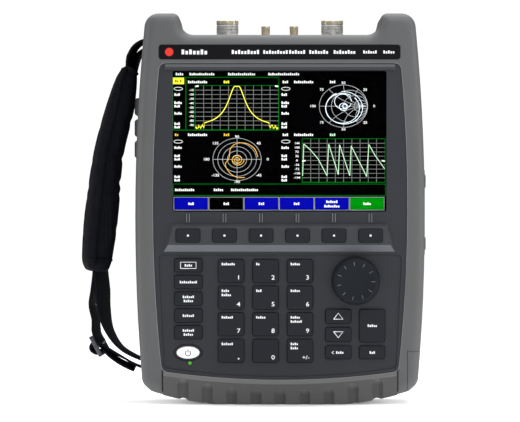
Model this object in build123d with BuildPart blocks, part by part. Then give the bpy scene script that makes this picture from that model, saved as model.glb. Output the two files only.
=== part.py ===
"""Handheld vector network analyzer, modelled as its separate pieces.

Frame: millimetres. +X is right seen from the front, the screen faces -Y, +Z is up.
The origin is the middle of the flat land that the instrument stands on.
"""
import os
from math import cos, radians, sin

from build123d import *

os.makedirs("parts", exist_ok=True)

# --- housing ---
FRONT_Y = -36.0          # front face of the frame
SPLIT_Y = -8.0           # joint between the two shells
REAR_Y = 36.0            # back face
WALL = 3.0               # shell wall
REAR_WALL = 7.5          # thick back wall, which the bail folds into
TOP_Z = 272.5            # top of the horns
BAY_Z = 257.5            # floor of the connector bay between the horns
SIDE_TOP_X = 93.8        # half width at the horns
SIDE_MID_X = 101.0       # half width at the waist
SIDE_MID_Z = 148.0
SIDE_LOW_X = 96.2        # half width above the bottom corners
SIDE_LOW_Z = 14.4
CORNER_X, CORNER_Z = 90.0, 8.8
LAND_X = 46.0            # half width of the flat land
SWEEP_X, SWEEP_Z = 67.5, 3.1     # point on the arc between the land and a corner
HORN_IN_X, BAY_IN_X = 71.0, 67.5  # inner flank of a horn, at its top and at the bay
FRONT_ROUND = 7.0        # rounding of the front edge
REAR_ROUND = 6.0
PANEL_LEDGE_Z = 28.0     # the frame is solid behind its face below this height
FLOOR_Z = 9.0            # inside floor, above the bumper
GAP = 0.3                # clearance round a moving piece
SEAT = 0.1               # clearance round a fixed piece

# --- front panel and screen ---
PANEL_Y = -35.4
PANEL_T = 3.0
PANEL_TOP_Z, PANEL_TOP_X = 237.7, 84.3
PANEL_MID_Z, PANEL_MID_X = 165.0, 88.6
PANEL_LOW_Z, PANEL_LOW_X = 22.6, 82.6
PANEL_SAG_Z = 16.6       # lowest point of the arc along the panel's lower edge
SCREEN_W, SCREEN_H = 149.0, 98.0
SCREEN_X, SCREEN_Z = -0.4, 183.1
GLASS_T = 1.5
GLASS_RIM = 2.0
MODULE_T = 6.0
MODULE_W, MODULE_H = 164.0, 104.0
RIB_Z, RIB_H, RIB_W, RIB_PROUD = 129.6, 7.0, 2.6, 0.9    # short ribs above the soft keys
LABEL_X, LABEL_Z, LABEL_W, LABEL_H = -0.4, 245.2, 168.0, 10.0
LABEL_CORNER, LABEL_SEAT, LABEL_PROUD = 2.0, 0.8, 0.3

# --- keys ---
PAD_Y = -34.6            # face of the inset key panel
PAD_T = 2.6
KEY_Y = -36.6            # face of a key
FLANGE_T = 1.0
FLANGE_RIM = 0.9
BOARD_Y = -28.6          # face of the key board
BOARD_T = 1.6
KEY_BOARD_Z, KEY_BOARD_W, KEY_BOARD_H = 76.5, 166.0, 101.0
RIDGE_Y = -38.2          # top of the ridge that carries the soft keys
SOFT_Y = -39.5
SOFT_Z = 117.4
SOFT_PITCH = 25.4
SOFT_X = -0.6
SOFT_W, SOFT_H, SOFT_CORNER = 16.7, 9.1, 1.5
TONGUE_W, TONGUE_H = 152.0, 14.0  # back of the ridge, which fills the panel's opening
DIGIT_X = (-34.1, -10.1, 13.9)
DIGIT_Z = (92.7, 74.1, 55.6, 37.1)
DIGIT_W, DIGIT_H = 17.9, 16.0
FUNCTION_X, FUNCTION_TOP_Z, FUNCTION_PITCH = -63.9, 96.7, 11.68
FUNCTION_W, FUNCTION_H = 19.2, 9.2
ARROW_X, ENTER_X = 40.5, 64.1
ARROW_W = 17.8
POWER_X, POWER_Z, POWER_W, POWER_H = -64.1, 35.9, 15.7, 8.2
LED_X, LED_Z, LED_R = -62.8, 28.6, 1.2
KNOB_X, KNOB_Z, KNOB_R, KNOB_H = 52.6, 85.9, 16.0, 10.0
KNOB_LIFT, KNOB_ROUND, DISH_R, KNOB_ROOF = 0.5, 1.8, 10.4, 3.0
COLLAR_R = 4.4           # threaded neck of the encoder
ENCODER_SIDE, ENCODER_DEPTH = 13.0, 6.8
SHAFT_R = 3.0
SHAFT_FIT = 0.05

# --- insides ---
CHASSIS_Y, CHASSIS_Z, CHASSIS_W, CHASSIS_H, CHASSIS_T = -17.0, 140.0, 164.0, 208.0, 2.0
STUD_R, STUD_H = 3.5, 5.0
MAIN_Y, CHIP_T = -10.2, 2.4
RADIO_HALF_X, RADIO_Y0, RADIO_Y1, RADIO_Z0, RADIO_Z1, LID_T = 66.0, -3.0, 18.0, 150.0, 240.0, 1.2
CELL_LOW, CELL_HIGH = (-62.0, -20.0, 14.2), (82.0, 25.0, 35.8)
PULL_LOW, PULL_HIGH = (78.0, -14.0, 22.0), (82.0, 19.0, 28.0)

# --- ports ---
PORT_X, PORT_R, PORT_TOP_Z = 37.0, 7.94, 269.0
PORT_FLANGE_R, PORT_FLANGE_T = 9.6, 1.4
PORT_BORE_R, PORT_PIN_R, PORT_BORE_DEPTH, PORT_PIN_LOW = 5.6, 2.0, 9.0, 2.5
PORT_STEM_R, PORT_STEM = 6.0, 11.0
JACK_X, JACK_R, JACK_TOP_Z = 10.0, 3.175, 265.0
JACK_FLANGE_R, JACK_FLANGE_T = 4.8, 1.2
JACK_BORE_R, JACK_BORE_DEPTH, JACK_STEM_R, JACK_STEM = 2.3, 3.5, 2.6, 8.2
PLATE_PROUD = 0.2        # the bay plate stands this far above the frame
BAY_HALF_X, BAY_HALF_Y = 56.0, 20.0
BAY_PLATE_T = 3.0

# --- doors, battery and bail ---
IO_Z0, IO_Z1 = 103.5, 163.5
IO_Y0, IO_AXIS_Y, IO_AXIS_X = -5.0, 24.5, 101.2
IO_SKIN = 1.7
SOCKET_LOW, SOCKET_HIGH = (80.0, 0.5, 108.0), (94.0, 18.5, 159.0)
SOCKETS = ((113.5, 6.0), (124.5, 6.0), (135.0, 5.0), (149.0, 14.0))
KNUCKLE_R = 1.6
BAT_X, BAT_TOP_Z = 88.5, 37.0
BAT_AXIS_X, BAT_AXIS_Y = 97.6, 28.0
BAIL_R, BAIL_X, BAIL_Y = 2.5, 62.0, 32.7
BAIL_TOP_Z, BAIL_LOW_Z = 150.0, 42.0
BAIL_PIN_X = 54.6
BAIL_SLOT = 8.0
BAIL_BEND = 6.0

# --- strap ---
STRAP_Y, PAD_WIDTH, WEB_WIDTH, WEB_T = 8.0, 44.0, 25.0, 1.6
BAR_X, BAR_R = -88.5, 2.0
BAR_TOP_Z, BAR_LOW_Z = 252.2, 26.0
BAR_HALF = 17.0
BUCKLE_X, BUCKLE_Z, BUCKLE_TILT = -127.6, 40.2, 62.0
BUCKLE_W, BUCKLE_L, BUCKLE_T, BUCKLE_SLOT_X = 16.0, 33.0, 3.2, 3.8
POCKET_H = 13.0


def facing(y):
    """Sketch plane at depth y, seen from the front, with +X right and +Z up."""
    return Plane.XZ.offset(-y)


def save(piece, node):
    """Label a finished piece and write its STEP file."""
    piece.part.label = node
    export_step(piece.part, f"parts/{node}.step")


def box_between(low, high, mode=Mode.ADD):
    """Add or cut a box given by its two corners."""
    size = [b - a for a, b in zip(low, high)]
    with Locations(tuple(low)):
        Box(*size, align=(Align.MIN, Align.MIN, Align.MIN), mode=mode)


def housing_face(inset):
    """Outline of the housing seen from the front, drawn in by inset."""
    with BuildSketch(mode=Mode.PRIVATE) as outline:
        with BuildLine():
            Line((0, 0), (LAND_X, 0))
            ThreePointArc((LAND_X, 0), (SWEEP_X, SWEEP_Z), (CORNER_X, CORNER_Z))
            Line((CORNER_X, CORNER_Z), (SIDE_LOW_X, SIDE_LOW_Z))
            ThreePointArc((SIDE_LOW_X, SIDE_LOW_Z), (SIDE_MID_X, SIDE_MID_Z), (SIDE_TOP_X, TOP_Z))
            Polyline((SIDE_TOP_X, TOP_Z), (HORN_IN_X, TOP_Z), (BAY_IN_X, BAY_Z), (0, BAY_Z))
            mirror(about=Plane.YZ)
        make_face()
        points = outline.vertices()
        fillet(points.filter_by(lambda v: v.Y > TOP_Z - 1 and abs(v.X) > 90), radius=10.0)
        points = outline.vertices()
        fillet(points.filter_by(lambda v: v.Y > TOP_Z - 1 and abs(v.X) < 72), radius=5.0)
        points = outline.vertices()
        fillet(points.filter_by(lambda v: abs(v.Y - BAY_Z) < 0.1 and 60 < abs(v.X) < 70), radius=9.0)
        points = outline.vertices()
        fillet(points.filter_by(lambda v: abs(v.Y - CORNER_Z) < 0.1), radius=8.0)
        points = outline.vertices()
        fillet(points.filter_by(lambda v: abs(v.Y - SIDE_LOW_Z) < 0.1), radius=9.0)
        if inset:
            offset(amount=-inset)
    return outline.sketch


def panel_face(grow):
    """Outline of the dark front panel, grown outwards by grow."""
    with BuildSketch(mode=Mode.PRIVATE) as outline:
        with BuildLine():
            Line((0, PANEL_TOP_Z), (PANEL_TOP_X, PANEL_TOP_Z))
            ThreePointArc((PANEL_TOP_X, PANEL_TOP_Z), (PANEL_MID_X, PANEL_MID_Z),
                          (PANEL_LOW_X, PANEL_LOW_Z))
            mirror(about=Plane.YZ)
            ThreePointArc((PANEL_LOW_X, PANEL_LOW_Z), (0, PANEL_SAG_Z), (-PANEL_LOW_X, PANEL_LOW_Z))
        make_face()
        fillet(outline.vertices().filter_by(lambda v: abs(v.X) > 1), radius=5.0)
        if grow:
            offset(amount=grow)
    return outline.sketch


def key_panel_face(inset):
    """Outline of the inset key panel, drawn in by inset."""
    with BuildSketch(mode=Mode.PRIVATE) as outline:
        with BuildLine():
            Polyline((-81.0, 25.2), (-84.8, 104.2), (84.8, 104.2), (81.0, 25.2))
            ThreePointArc((81.0, 25.2), (0, 19.0), (-81.0, 25.2))
        make_face()
        fillet(outline.vertices(), radius=3.5)
        if inset:
            offset(amount=-inset)
    return outline.sketch


def key_layout():
    """Name, centre and size of every key on the key panel."""
    keys = []
    for row in range(5):
        z = FUNCTION_TOP_Z - row * FUNCTION_PITCH
        keys.append((f"function_key_{row + 1}", FUNCTION_X, z, FUNCTION_W, FUNCTION_H, 1.2))
    for index in range(12):
        x, z = DIGIT_X[index % 3], DIGIT_Z[index // 3]
        keys.append((f"digit_key_{index + 1:02d}", x, z, DIGIT_W, DIGIT_H, 1.6))
    keys.append(("up_key", ARROW_X, 61.2, ARROW_W, 9.8, 1.4))
    keys.append(("down_key", ARROW_X, 48.5, ARROW_W, 9.8, 1.4))
    keys.append(("back_key", ARROW_X, 36.0, ARROW_W, 8.9, 1.4))
    keys.append(("enter_key", ENTER_X, 54.7, ARROW_W, 22.7, 1.8))
    keys.append(("escape_key", ENTER_X, 36.0, ARROW_W, 8.9, 1.4))
    return keys


def soft_key_x(index):
    """Centre of a soft key across the instrument."""
    return SOFT_X + (index - 2.5) * SOFT_PITCH


HOUSING = housing_face(0)
CAVITY = housing_face(WALL)
WEB_LIMIT = housing_face(WALL / 2)
PANEL_HOLE = panel_face(0)
BUMPER_HALF_X = 81.5
BUMPER_PROUD, LIP_H, SOLE_T = 1.2, 2.6, 6.0
FLUTE_R, FLUTE_OUT = 4.2, 2.6
FLUTES = [(side * x, top_z) for x, top_z in ((16.9, 6.6), (33.8, 7.6), (50.7, 10.6), (67.6, 14.0))
          for side in (-1, 1)] + [(0, 6.2)]
SOLE_GROOVE_R = 4.5
SOLE_GROOVES = [(side * x, z) for x, z in ((52.4, -3.4), (67.6, -0.2)) for side in (-1, 1)]
SCREW_R, SCREW_HEAD_R = 1.45, 2.9
POST_R, POST_DEPTH, POST_WEB = 4.0, 18.0, 3.0
SCREWS = [(side * 88.0, z) for z in (50.0, 178.0, 236.0) for side in (-1, 1)]
KEYS = key_layout()
BAY_BOX = ((-BAY_HALF_X, -BAY_HALF_Y, BAY_Z - BAY_PLATE_T), (BAY_HALF_X, BAY_HALF_Y, BAY_Z + 20))
BAT_BOX = ((BAT_X, FRONT_Y - 5, -5), (120, BAT_AXIS_Y, BAT_TOP_Z))
GRIP_ROWS = (208.0, 193.0, 178.0)
GRIP_H, GRIP_X, GRIP_SEAT_X = 12.6, -102.6, -99.4
GRIP_Y0, GRIP_Y1 = -4.0, 26.0
GRIP_ROUND = 2.2
FIN_PITCH, FIN_COUNT = 9.0, 11      # cooling grooves across the back
FIN_Z, FIN_L, FIN_W, FIN_DEPTH = 205.0, 62.0, 4.4, 2.6
SCOOP_W, SCOOP_H = 30.0, 15.0       # thumb scoop at the bail

# Region of the bumper seen from the front: under the panel's lower arc and between the side frames.
with BuildSketch(mode=Mode.PRIVATE) as bumper_front:
    add(HOUSING)
    with Locations((0, -30)):
        Rectangle(2 * BUMPER_HALF_X, 110, mode=Mode.INTERSECT)
    add(PANEL_HOLE, mode=Mode.SUBTRACT)
BUMPER_FACE = bumper_front.sketch

# --- front shell: the frame round the panel, with the horns on top ---
with BuildPart() as front_shell:
    with BuildSketch(facing(SPLIT_Y)):
        add(HOUSING)
    extrude(amount=SPLIT_Y - FRONT_Y)
    fillet(front_shell.faces().sort_by(Axis.Y)[0].edges(), radius=FRONT_ROUND)
    with BuildSketch(facing(SPLIT_Y)):
        add(CAVITY)
        with Locations((0, FLOOR_Z - 50)):
            Rectangle(240, 100, mode=Mode.SUBTRACT)
    extrude(amount=SPLIT_Y - FRONT_Y - 10, mode=Mode.SUBTRACT)
    with BuildSketch(facing(SPLIT_Y)):
        add(CAVITY)
        with Locations((0, PANEL_LEDGE_Z - 50)):
            Rectangle(240, 100, mode=Mode.SUBTRACT)
    extrude(amount=SPLIT_Y - FRONT_Y - WALL, mode=Mode.SUBTRACT)
    with BuildSketch(facing(FRONT_Y - 1)):
        add(PANEL_HOLE)
    extrude(amount=-11.5, mode=Mode.SUBTRACT)
    with BuildSketch(facing(FRONT_Y - 1)):
        add(BUMPER_FACE)
    extrude(amount=-8, mode=Mode.SUBTRACT)
    box_between((-BUMPER_HALF_X, FRONT_Y, -1), (BUMPER_HALF_X, SPLIT_Y, SOLE_T), Mode.SUBTRACT)
    with BuildSketch(facing(FRONT_Y)):
        with Locations((LABEL_X, LABEL_Z)):
            RectangleRounded(LABEL_W + 4 * SEAT, LABEL_H + 4 * SEAT, LABEL_CORNER + 2 * SEAT)
    extrude(amount=-LABEL_SEAT, mode=Mode.SUBTRACT)
    box_between(*BAY_BOX, Mode.SUBTRACT)
    box_between(*BAT_BOX, Mode.SUBTRACT)
    # screw posts, tied to the side walls by webs
    with BuildSketch(facing(SPLIT_Y + POST_DEPTH)):
        for x, z in SCREWS:
            with Locations((x, z)):
                Circle(POST_R)
    extrude(amount=POST_DEPTH)
    with BuildSketch(facing(SPLIT_Y)):
        for x, z in SCREWS:
            with Locations((x, z)):
                Circle(POST_R)
        for x, z in SCREWS:
            with Locations((x * 1.07, z)):
                Rectangle(4 * POST_WEB, POST_WEB)
        add(WEB_LIMIT, mode=Mode.INTERSECT)
    extrude(amount=POST_DEPTH)
    with BuildSketch(facing(SPLIT_Y + POST_DEPTH + 2)):
        for x, z in SCREWS:
            with Locations((x, z)):
                Circle(SCREW_R + 0.05)
    extrude(amount=30, mode=Mode.SUBTRACT)
save(front_shell, "front_shell")

# --- rear shell: back, sides, cooling grooves, bail groove ---
with BuildPart() as rear_shell:
    with BuildSketch(facing(REAR_Y)):
        add(HOUSING)
    extrude(amount=REAR_Y - SPLIT_Y)
    fillet(rear_shell.faces().sort_by(Axis.Y)[-1].edges(), radius=REAR_ROUND)
    with BuildSketch(facing(REAR_Y - REAR_WALL)):
        add(CAVITY)
        with Locations((0, FLOOR_Z - 50)):
            Rectangle(240, 100, mode=Mode.SUBTRACT)
    extrude(amount=REAR_Y - REAR_WALL - SPLIT_Y, mode=Mode.SUBTRACT)
    box_between((-BUMPER_HALF_X, SPLIT_Y, -1), (BUMPER_HALF_X, REAR_Y, SOLE_T), Mode.SUBTRACT)
    box_between(*BAY_BOX, Mode.SUBTRACT)
    box_between(*BAT_BOX, Mode.SUBTRACT)
    # cooling grooves across the upper back
    with BuildSketch(facing(REAR_Y)):
        with Locations((0, FIN_Z)):
            with GridLocations(FIN_PITCH, 1, FIN_COUNT, 1):
                SlotOverall(FIN_L, FIN_W, rotation=90)
    extrude(amount=FIN_DEPTH, mode=Mode.SUBTRACT)
    # groove for the folded bail, with a thumb scoop
    with BuildSketch(facing(REAR_Y)):
        for side in (-1, 1):
            leg_h = BAIL_TOP_Z - BAIL_LOW_Z + BAIL_SLOT
            with Locations((side * BAIL_X, (BAIL_TOP_Z + BAIL_LOW_Z) / 2)):
                Rectangle(BAIL_SLOT, leg_h)
        with Locations((0, BAIL_LOW_Z)):
            Rectangle(2 * BAIL_X + BAIL_SLOT, BAIL_SLOT)
        with Locations((0, BAIL_LOW_Z + 4)):
            Rectangle(SCOOP_W, SCOOP_H)
    extrude(amount=REAR_Y - BAIL_Y + BAIL_R + 0.4, mode=Mode.SUBTRACT)
    # blind holes for the bail's pins, bored inwards from the two grooves
    for side in (-1, 1):
        with BuildSketch(Plane.YZ.offset(side * BAIL_PIN_X - side * 0.4)):
            with Locations((BAIL_Y, BAIL_TOP_Z)):
                Circle(BAIL_R + SHAFT_FIT)
        extrude(amount=side * (BAIL_X - BAIL_PIN_X), mode=Mode.SUBTRACT)
    # recess and opening of the connector door on the right side
    box_between((IO_AXIS_X - 2.4, IO_Y0 - GAP, IO_Z0 - GAP), (110, IO_AXIS_Y, IO_Z1 + GAP), Mode.SUBTRACT)
    box_between((90, IO_Y0 + 3, IO_Z0 + 3), (110, IO_AXIS_Y - 4, IO_Z1 - 3), Mode.SUBTRACT)
    with BuildSketch(Plane.XY.offset(IO_Z0 - GAP)):
        with Locations((IO_AXIS_X, IO_AXIS_Y)):
            Circle(KNUCKLE_R + GAP)
    extrude(amount=IO_Z1 - IO_Z0 + 2 * GAP, mode=Mode.SUBTRACT)
    with BuildSketch(Plane.XY):
        with Locations((BAT_AXIS_X, BAT_AXIS_Y)):
            Circle(KNUCKLE_R + GAP)
    extrude(amount=BAT_TOP_Z, mode=Mode.SUBTRACT)
    # strap pockets at the two left corners
    for z in (BAR_TOP_Z, BAR_LOW_Z):
        box_between((-110, STRAP_Y - BAR_HALF + 2, z - POCKET_H / 2),
                    (BAR_X + 5, STRAP_Y + BAR_HALF - 2, z + POCKET_H / 2), Mode.SUBTRACT)
        with BuildSketch(Plane.XZ.offset(-STRAP_Y - BAR_HALF)):
            with Locations((BAR_X, z)):
                Circle(BAR_R)
        extrude(amount=2 * BAR_HALF, mode=Mode.SUBTRACT)
    # seats of the rubber grip pads
    for z in GRIP_ROWS:
        box_between((-120, GRIP_Y0, z - GRIP_H / 2), (GRIP_SEAT_X, GRIP_Y1, z + GRIP_H / 2), Mode.SUBTRACT)
    # screw holes with counterbores
    with BuildSketch(facing(REAR_Y)):
        for x, z in SCREWS:
            with Locations((x, z)):
                Circle(SCREW_HEAD_R + 0.4)
    extrude(amount=5.0, mode=Mode.SUBTRACT)
    with BuildSketch(facing(REAR_Y)):
        for x, z in SCREWS:
            with Locations((x, z)):
                Circle(SCREW_R + 0.35)
    extrude(amount=10.0, mode=Mode.SUBTRACT)
save(rear_shell, "rear_shell")

# --- rubber bumper under the panel and along the bottom ---
with BuildPart() as bottom_bumper:
    with BuildSketch(facing(FRONT_Y + 7)):
        add(BUMPER_FACE)
        offset(amount=-SEAT)
    extrude(amount=7 + BUMPER_PROUD)
    front = bottom_bumper.faces().sort_by(Axis.Y)[0]
    chamfer(front.edges().sort_by(Axis.Z)[-3:], length=LIP_H, length2=BUMPER_PROUD - 0.1, reference=front)
    with BuildSketch(facing(REAR_Y - 1.5)):
        add(HOUSING)
        with Locations((0, SOLE_T / 2)):
            Rectangle(2 * BUMPER_HALF_X - 2 * SEAT, SOLE_T - 2 * SEAT, mode=Mode.INTERSECT)
    extrude(amount=REAR_Y - 1.5 - FRONT_Y - 7)
    # flutes up the front, each with a rounded top
    for x, top_z in FLUTES:
        with BuildSketch(Plane.XY.offset(-1)):
            with Locations((x, FRONT_Y - FLUTE_OUT)):
                Circle(FLUTE_R)
        extrude(amount=top_z + 1, mode=Mode.SUBTRACT)
        with Locations((x, FRONT_Y - FLUTE_OUT, top_z)):
            Sphere(FLUTE_R, mode=Mode.SUBTRACT)
    # the outer flutes run on under the sole
    for x, z in SOLE_GROOVES:
        with BuildSketch(facing(REAR_Y)):
            with Locations((x, z)):
                Circle(SOLE_GROOVE_R)
        extrude(amount=REAR_Y - FRONT_Y + 4, mode=Mode.SUBTRACT)
save(bottom_bumper, "bottom_bumper")

# --- dark front panel ---
with BuildPart() as front_panel:
    with BuildSketch(facing(PANEL_Y + PANEL_T)):
        add(panel_face(-SEAT))
    extrude(amount=PANEL_T)
    fillet(front_panel.faces().sort_by(Axis.Y)[0].edges(), radius=0.8)
    with BuildSketch(facing(PANEL_Y)):
        with Locations((SCREEN_X, SCREEN_Z)):
            RectangleRounded(SCREEN_W, SCREEN_H, 1.5)
    extrude(amount=-PANEL_T, mode=Mode.SUBTRACT)
    with BuildSketch(facing(PANEL_Y + PANEL_T - GLASS_T)):
        with Locations((SCREEN_X, SCREEN_Z)):
            Rectangle(SCREEN_W + 2 * GLASS_RIM, SCREEN_H + 2 * GLASS_RIM)
    extrude(amount=-GLASS_T, mode=Mode.SUBTRACT)
    with BuildSketch(facing(PANEL_Y)):
        add(key_panel_face(0))
        with Locations((SOFT_X, SOFT_Z)):
            Rectangle(TONGUE_W, TONGUE_H)
    extrude(amount=-PANEL_T, mode=Mode.SUBTRACT)
    # six short ribs that lead from the screen to the soft keys
    with BuildSketch(facing(PANEL_Y)):
        for index in range(6):
            with Locations((soft_key_x(index), RIB_Z)):
                SlotOverall(RIB_H, RIB_W, rotation=90)
    extrude(amount=RIB_PROUD)
save(front_panel, "front_panel")

# --- ridge that carries the soft keys ---
with BuildPart() as softkey_ridge:
    with BuildSketch(facing(PANEL_Y)):
        with BuildLine():
            Polyline((-75.6, 125.4), (74.6, 125.4), (79.9, 106.2), (-81.1, 106.2), close=True)
        make_face()
    with BuildSketch(facing(RIDGE_Y)):
        with BuildLine():
            Polyline((-74.0, 123.9), (73.0, 123.9), (76.8, 110.9), (-78.0, 110.9), close=True)
        make_face()
    loft()
    with BuildSketch(facing(PANEL_Y)):
        with Locations((SOFT_X, SOFT_Z)):
            Rectangle(TONGUE_W - 2 * SEAT, TONGUE_H - 2 * SEAT)
    extrude(amount=-PANEL_T)
    with BuildSketch(facing(RIDGE_Y)):
        for index in range(6):
            with Locations((soft_key_x(index), SOFT_Z)):
                RectangleRounded(SOFT_W + 2 * GAP, SOFT_H + 2 * GAP, SOFT_CORNER + GAP)
    extrude(amount=-12, mode=Mode.SUBTRACT)
save(softkey_ridge, "softkey_ridge")

# --- inset key panel ---
with BuildPart() as keypad_panel:
    with BuildSketch(facing(PAD_Y + PAD_T)):
        add(key_panel_face(SEAT))
        for _, x, z, width, height, corner in KEYS:
            with Locations((x, z)):
                RectangleRounded(width + 2 * GAP, height + 2 * GAP, corner + GAP, mode=Mode.SUBTRACT)
        with Locations((POWER_X, POWER_Z)):
            Ellipse(POWER_W / 2 + GAP, POWER_H / 2 + GAP, mode=Mode.SUBTRACT)
        with Locations((LED_X, LED_Z)):
            Circle(LED_R + SEAT, mode=Mode.SUBTRACT)
        with Locations((KNOB_X, KNOB_Z)):
            Circle(COLLAR_R + 2 * SEAT, mode=Mode.SUBTRACT)
    extrude(amount=PAD_T)
save(keypad_panel, "keypad_panel")


def key(x, z, width, height, corner, face_y, panel_back_y):
    """A key cap with its retaining flange behind the panel."""
    back_y = panel_back_y + GAP + FLANGE_T
    with BuildPart() as cap:
        with BuildSketch(facing(back_y)):
            with Locations((x, z)):
                RectangleRounded(width, height, corner)
        extrude(amount=back_y - face_y)
        fillet(cap.faces().sort_by(Axis.Y)[0].edges(), radius=0.6)
        with BuildSketch(facing(back_y)):
            with Locations((x, z)):
                Rectangle(width + 2 * FLANGE_RIM, height + 2 * FLANGE_RIM)
        extrude(amount=FLANGE_T)
    return cap


for node, x, z, width, height, corner in KEYS:
    save(key(x, z, width, height, corner, KEY_Y, PAD_Y + PAD_T), node)
for index in range(6):
    soft_key = key(soft_key_x(index), SOFT_Z, SOFT_W, SOFT_H, SOFT_CORNER, SOFT_Y, PANEL_Y + PANEL_T)
    save(soft_key, f"soft_key_{index + 1}")

# --- power button and its lamp ---
with BuildPart() as power_button:
    with BuildSketch(facing(PAD_Y + PAD_T + GAP + FLANGE_T)):
        with Locations((POWER_X, POWER_Z)):
            Ellipse(POWER_W / 2, POWER_H / 2)
    extrude(amount=PAD_Y + PAD_T + GAP + FLANGE_T - KEY_Y)
    fillet(power_button.faces().sort_by(Axis.Y)[0].edges(), radius=0.6)
    with BuildSketch(facing(PAD_Y + PAD_T + GAP + FLANGE_T)):
        with Locations((POWER_X, POWER_Z)):
            Ellipse(POWER_W / 2 + FLANGE_RIM, POWER_H / 2 + FLANGE_RIM)
    extrude(amount=FLANGE_T)
save(power_button, "power_button")

with BuildPart() as status_lamp:
    with BuildSketch(facing(BOARD_Y)):
        with Locations((LED_X, LED_Z)):
            Circle(LED_R)
    extrude(amount=BOARD_Y - PAD_Y + 0.3)
    fillet(status_lamp.faces().sort_by(Axis.Y)[0].edges(), radius=0.4)
save(status_lamp, "status_lamp")

# --- tuning knob and its encoder ---
with BuildPart() as knob:
    with BuildSketch(facing(PAD_Y - KNOB_LIFT)):
        with Locations((KNOB_X, KNOB_Z)):
            Circle(KNOB_R)
    extrude(amount=KNOB_H)
    fillet(knob.faces().sort_by(Axis.Y)[0].edges(), radius=KNOB_ROUND)
    with BuildSketch(facing(PAD_Y - KNOB_LIFT - KNOB_H)):
        with Locations((KNOB_X, KNOB_Z)):
            Circle(DISH_R)
    extrude(amount=-1.0, mode=Mode.SUBTRACT)
    with BuildSketch(facing(PAD_Y - KNOB_LIFT)):
        with Locations((KNOB_X, KNOB_Z)):
            Circle(SHAFT_R + SHAFT_FIT)
    extrude(amount=KNOB_H - KNOB_ROOF, mode=Mode.SUBTRACT)
save(knob, "knob")

with BuildPart() as rotary_encoder:
    with BuildSketch(facing(BOARD_Y + BOARD_T + 4)):
        with Locations((KNOB_X, KNOB_Z)):
            RectangleRounded(ENCODER_SIDE, ENCODER_SIDE, 1)
    extrude(amount=ENCODER_DEPTH)
    with BuildSketch(facing(BOARD_Y)):
        with Locations((KNOB_X, KNOB_Z)):
            Circle(COLLAR_R)
    extrude(amount=BOARD_Y - PAD_Y)
    with BuildSketch(facing(PAD_Y)):
        with Locations((KNOB_X, KNOB_Z)):
            Circle(SHAFT_R)
    extrude(amount=KNOB_H - KNOB_ROOF)
save(rotary_encoder, "rotary_encoder")

# --- label strip ---
with BuildPart() as label_strip:
    with BuildSketch(facing(FRONT_Y + LABEL_SEAT)):
        with Locations((LABEL_X, LABEL_Z)):
            RectangleRounded(LABEL_W, LABEL_H, LABEL_CORNER)
    extrude(amount=LABEL_SEAT + LABEL_PROUD)
save(label_strip, "label_strip")

# --- screen ---
with BuildPart() as display_window:
    with BuildSketch(facing(PANEL_Y + PANEL_T)):
        with Locations((SCREEN_X, SCREEN_Z)):
            Rectangle(SCREEN_W + 2 * GLASS_RIM - 2 * SEAT, SCREEN_H + 2 * GLASS_RIM - 2 * SEAT)
    extrude(amount=GLASS_T - SEAT)
save(display_window, "display_window")

with BuildPart() as display_module:
    with BuildSketch(facing(PANEL_Y + PANEL_T + SEAT + MODULE_T)):
        with Locations((SCREEN_X, SCREEN_Z + 1)):
            RectangleRounded(MODULE_W, MODULE_H, 2)
    extrude(amount=MODULE_T)
save(display_module, "display_module")

# --- key board behind the keys ---
with BuildPart() as key_board:
    with BuildSketch(facing(BOARD_Y + BOARD_T)):
        with Locations((0, KEY_BOARD_Z)):
            RectangleRounded(KEY_BOARD_W, KEY_BOARD_H, 3)
        with Locations((KNOB_X, KNOB_Z)):
            Rectangle(ENCODER_SIDE + 4 * SEAT, ENCODER_SIDE + 4 * SEAT, mode=Mode.SUBTRACT)
    extrude(amount=BOARD_T)
save(key_board, "key_board")

# --- chassis, main board and radio module ---
with BuildPart() as chassis:
    with BuildSketch(facing(CHASSIS_Y)):
        with Locations((0, CHASSIS_Z)):
            RectangleRounded(CHASSIS_W, CHASSIS_H, 4)
        with Locations((0, 78)):
            RectangleRounded(110, 60, 6, mode=Mode.SUBTRACT)
        with Locations((0, 180)):
            RectangleRounded(120, 70, 6, mode=Mode.SUBTRACT)
    extrude(amount=CHASSIS_T)
    with BuildSketch(facing(CHASSIS_Y + STUD_H)):
        with Locations((0, CHASSIS_Z)):
            with GridLocations(CHASSIS_W - 14, CHASSIS_H - 18, 2, 2):
                Circle(STUD_R)
    extrude(amount=STUD_H)
save(chassis, "chassis")

with BuildPart() as main_board:
    with BuildSketch(facing(MAIN_Y)):
        with Locations((0, CHASSIS_Z + 2)):
            RectangleRounded(CHASSIS_W - 4, CHASSIS_H - 4, 3)
    extrude(amount=BOARD_T)
    with BuildSketch(facing(MAIN_Y)):
        with Locations((-40, 80), (10, 80), (42, 64)):
            Rectangle(24, 24)
        with Locations((-50, 120), (0, 122)):
            Rectangle(30, 12)
    extrude(amount=-CHIP_T)
save(main_board, "main_board")

with BuildPart() as radio_module:
    box_between((-RADIO_HALF_X, RADIO_Y0, RADIO_Z0), (RADIO_HALF_X, RADIO_Y1, RADIO_Z1))
    fillet(radio_module.edges().filter_by(Axis.Y), radius=3)
    with BuildSketch(facing(RADIO_Y1)):
        with Locations((0, (RADIO_Z0 + RADIO_Z1) / 2)):
            with GridLocations(40, 36, 3, 2):
                RectangleRounded(34, 30, 2)
    extrude(amount=-LID_T)
save(radio_module, "radio_module")

# --- battery pack and its door ---
with BuildPart() as battery_pack:
    box_between(CELL_LOW, CELL_HIGH)
    fillet(battery_pack.edges().filter_by(Axis.X), radius=3)
    box_between(PULL_LOW, PULL_HIGH, Mode.SUBTRACT)
save(battery_pack, "battery_pack")

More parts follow.
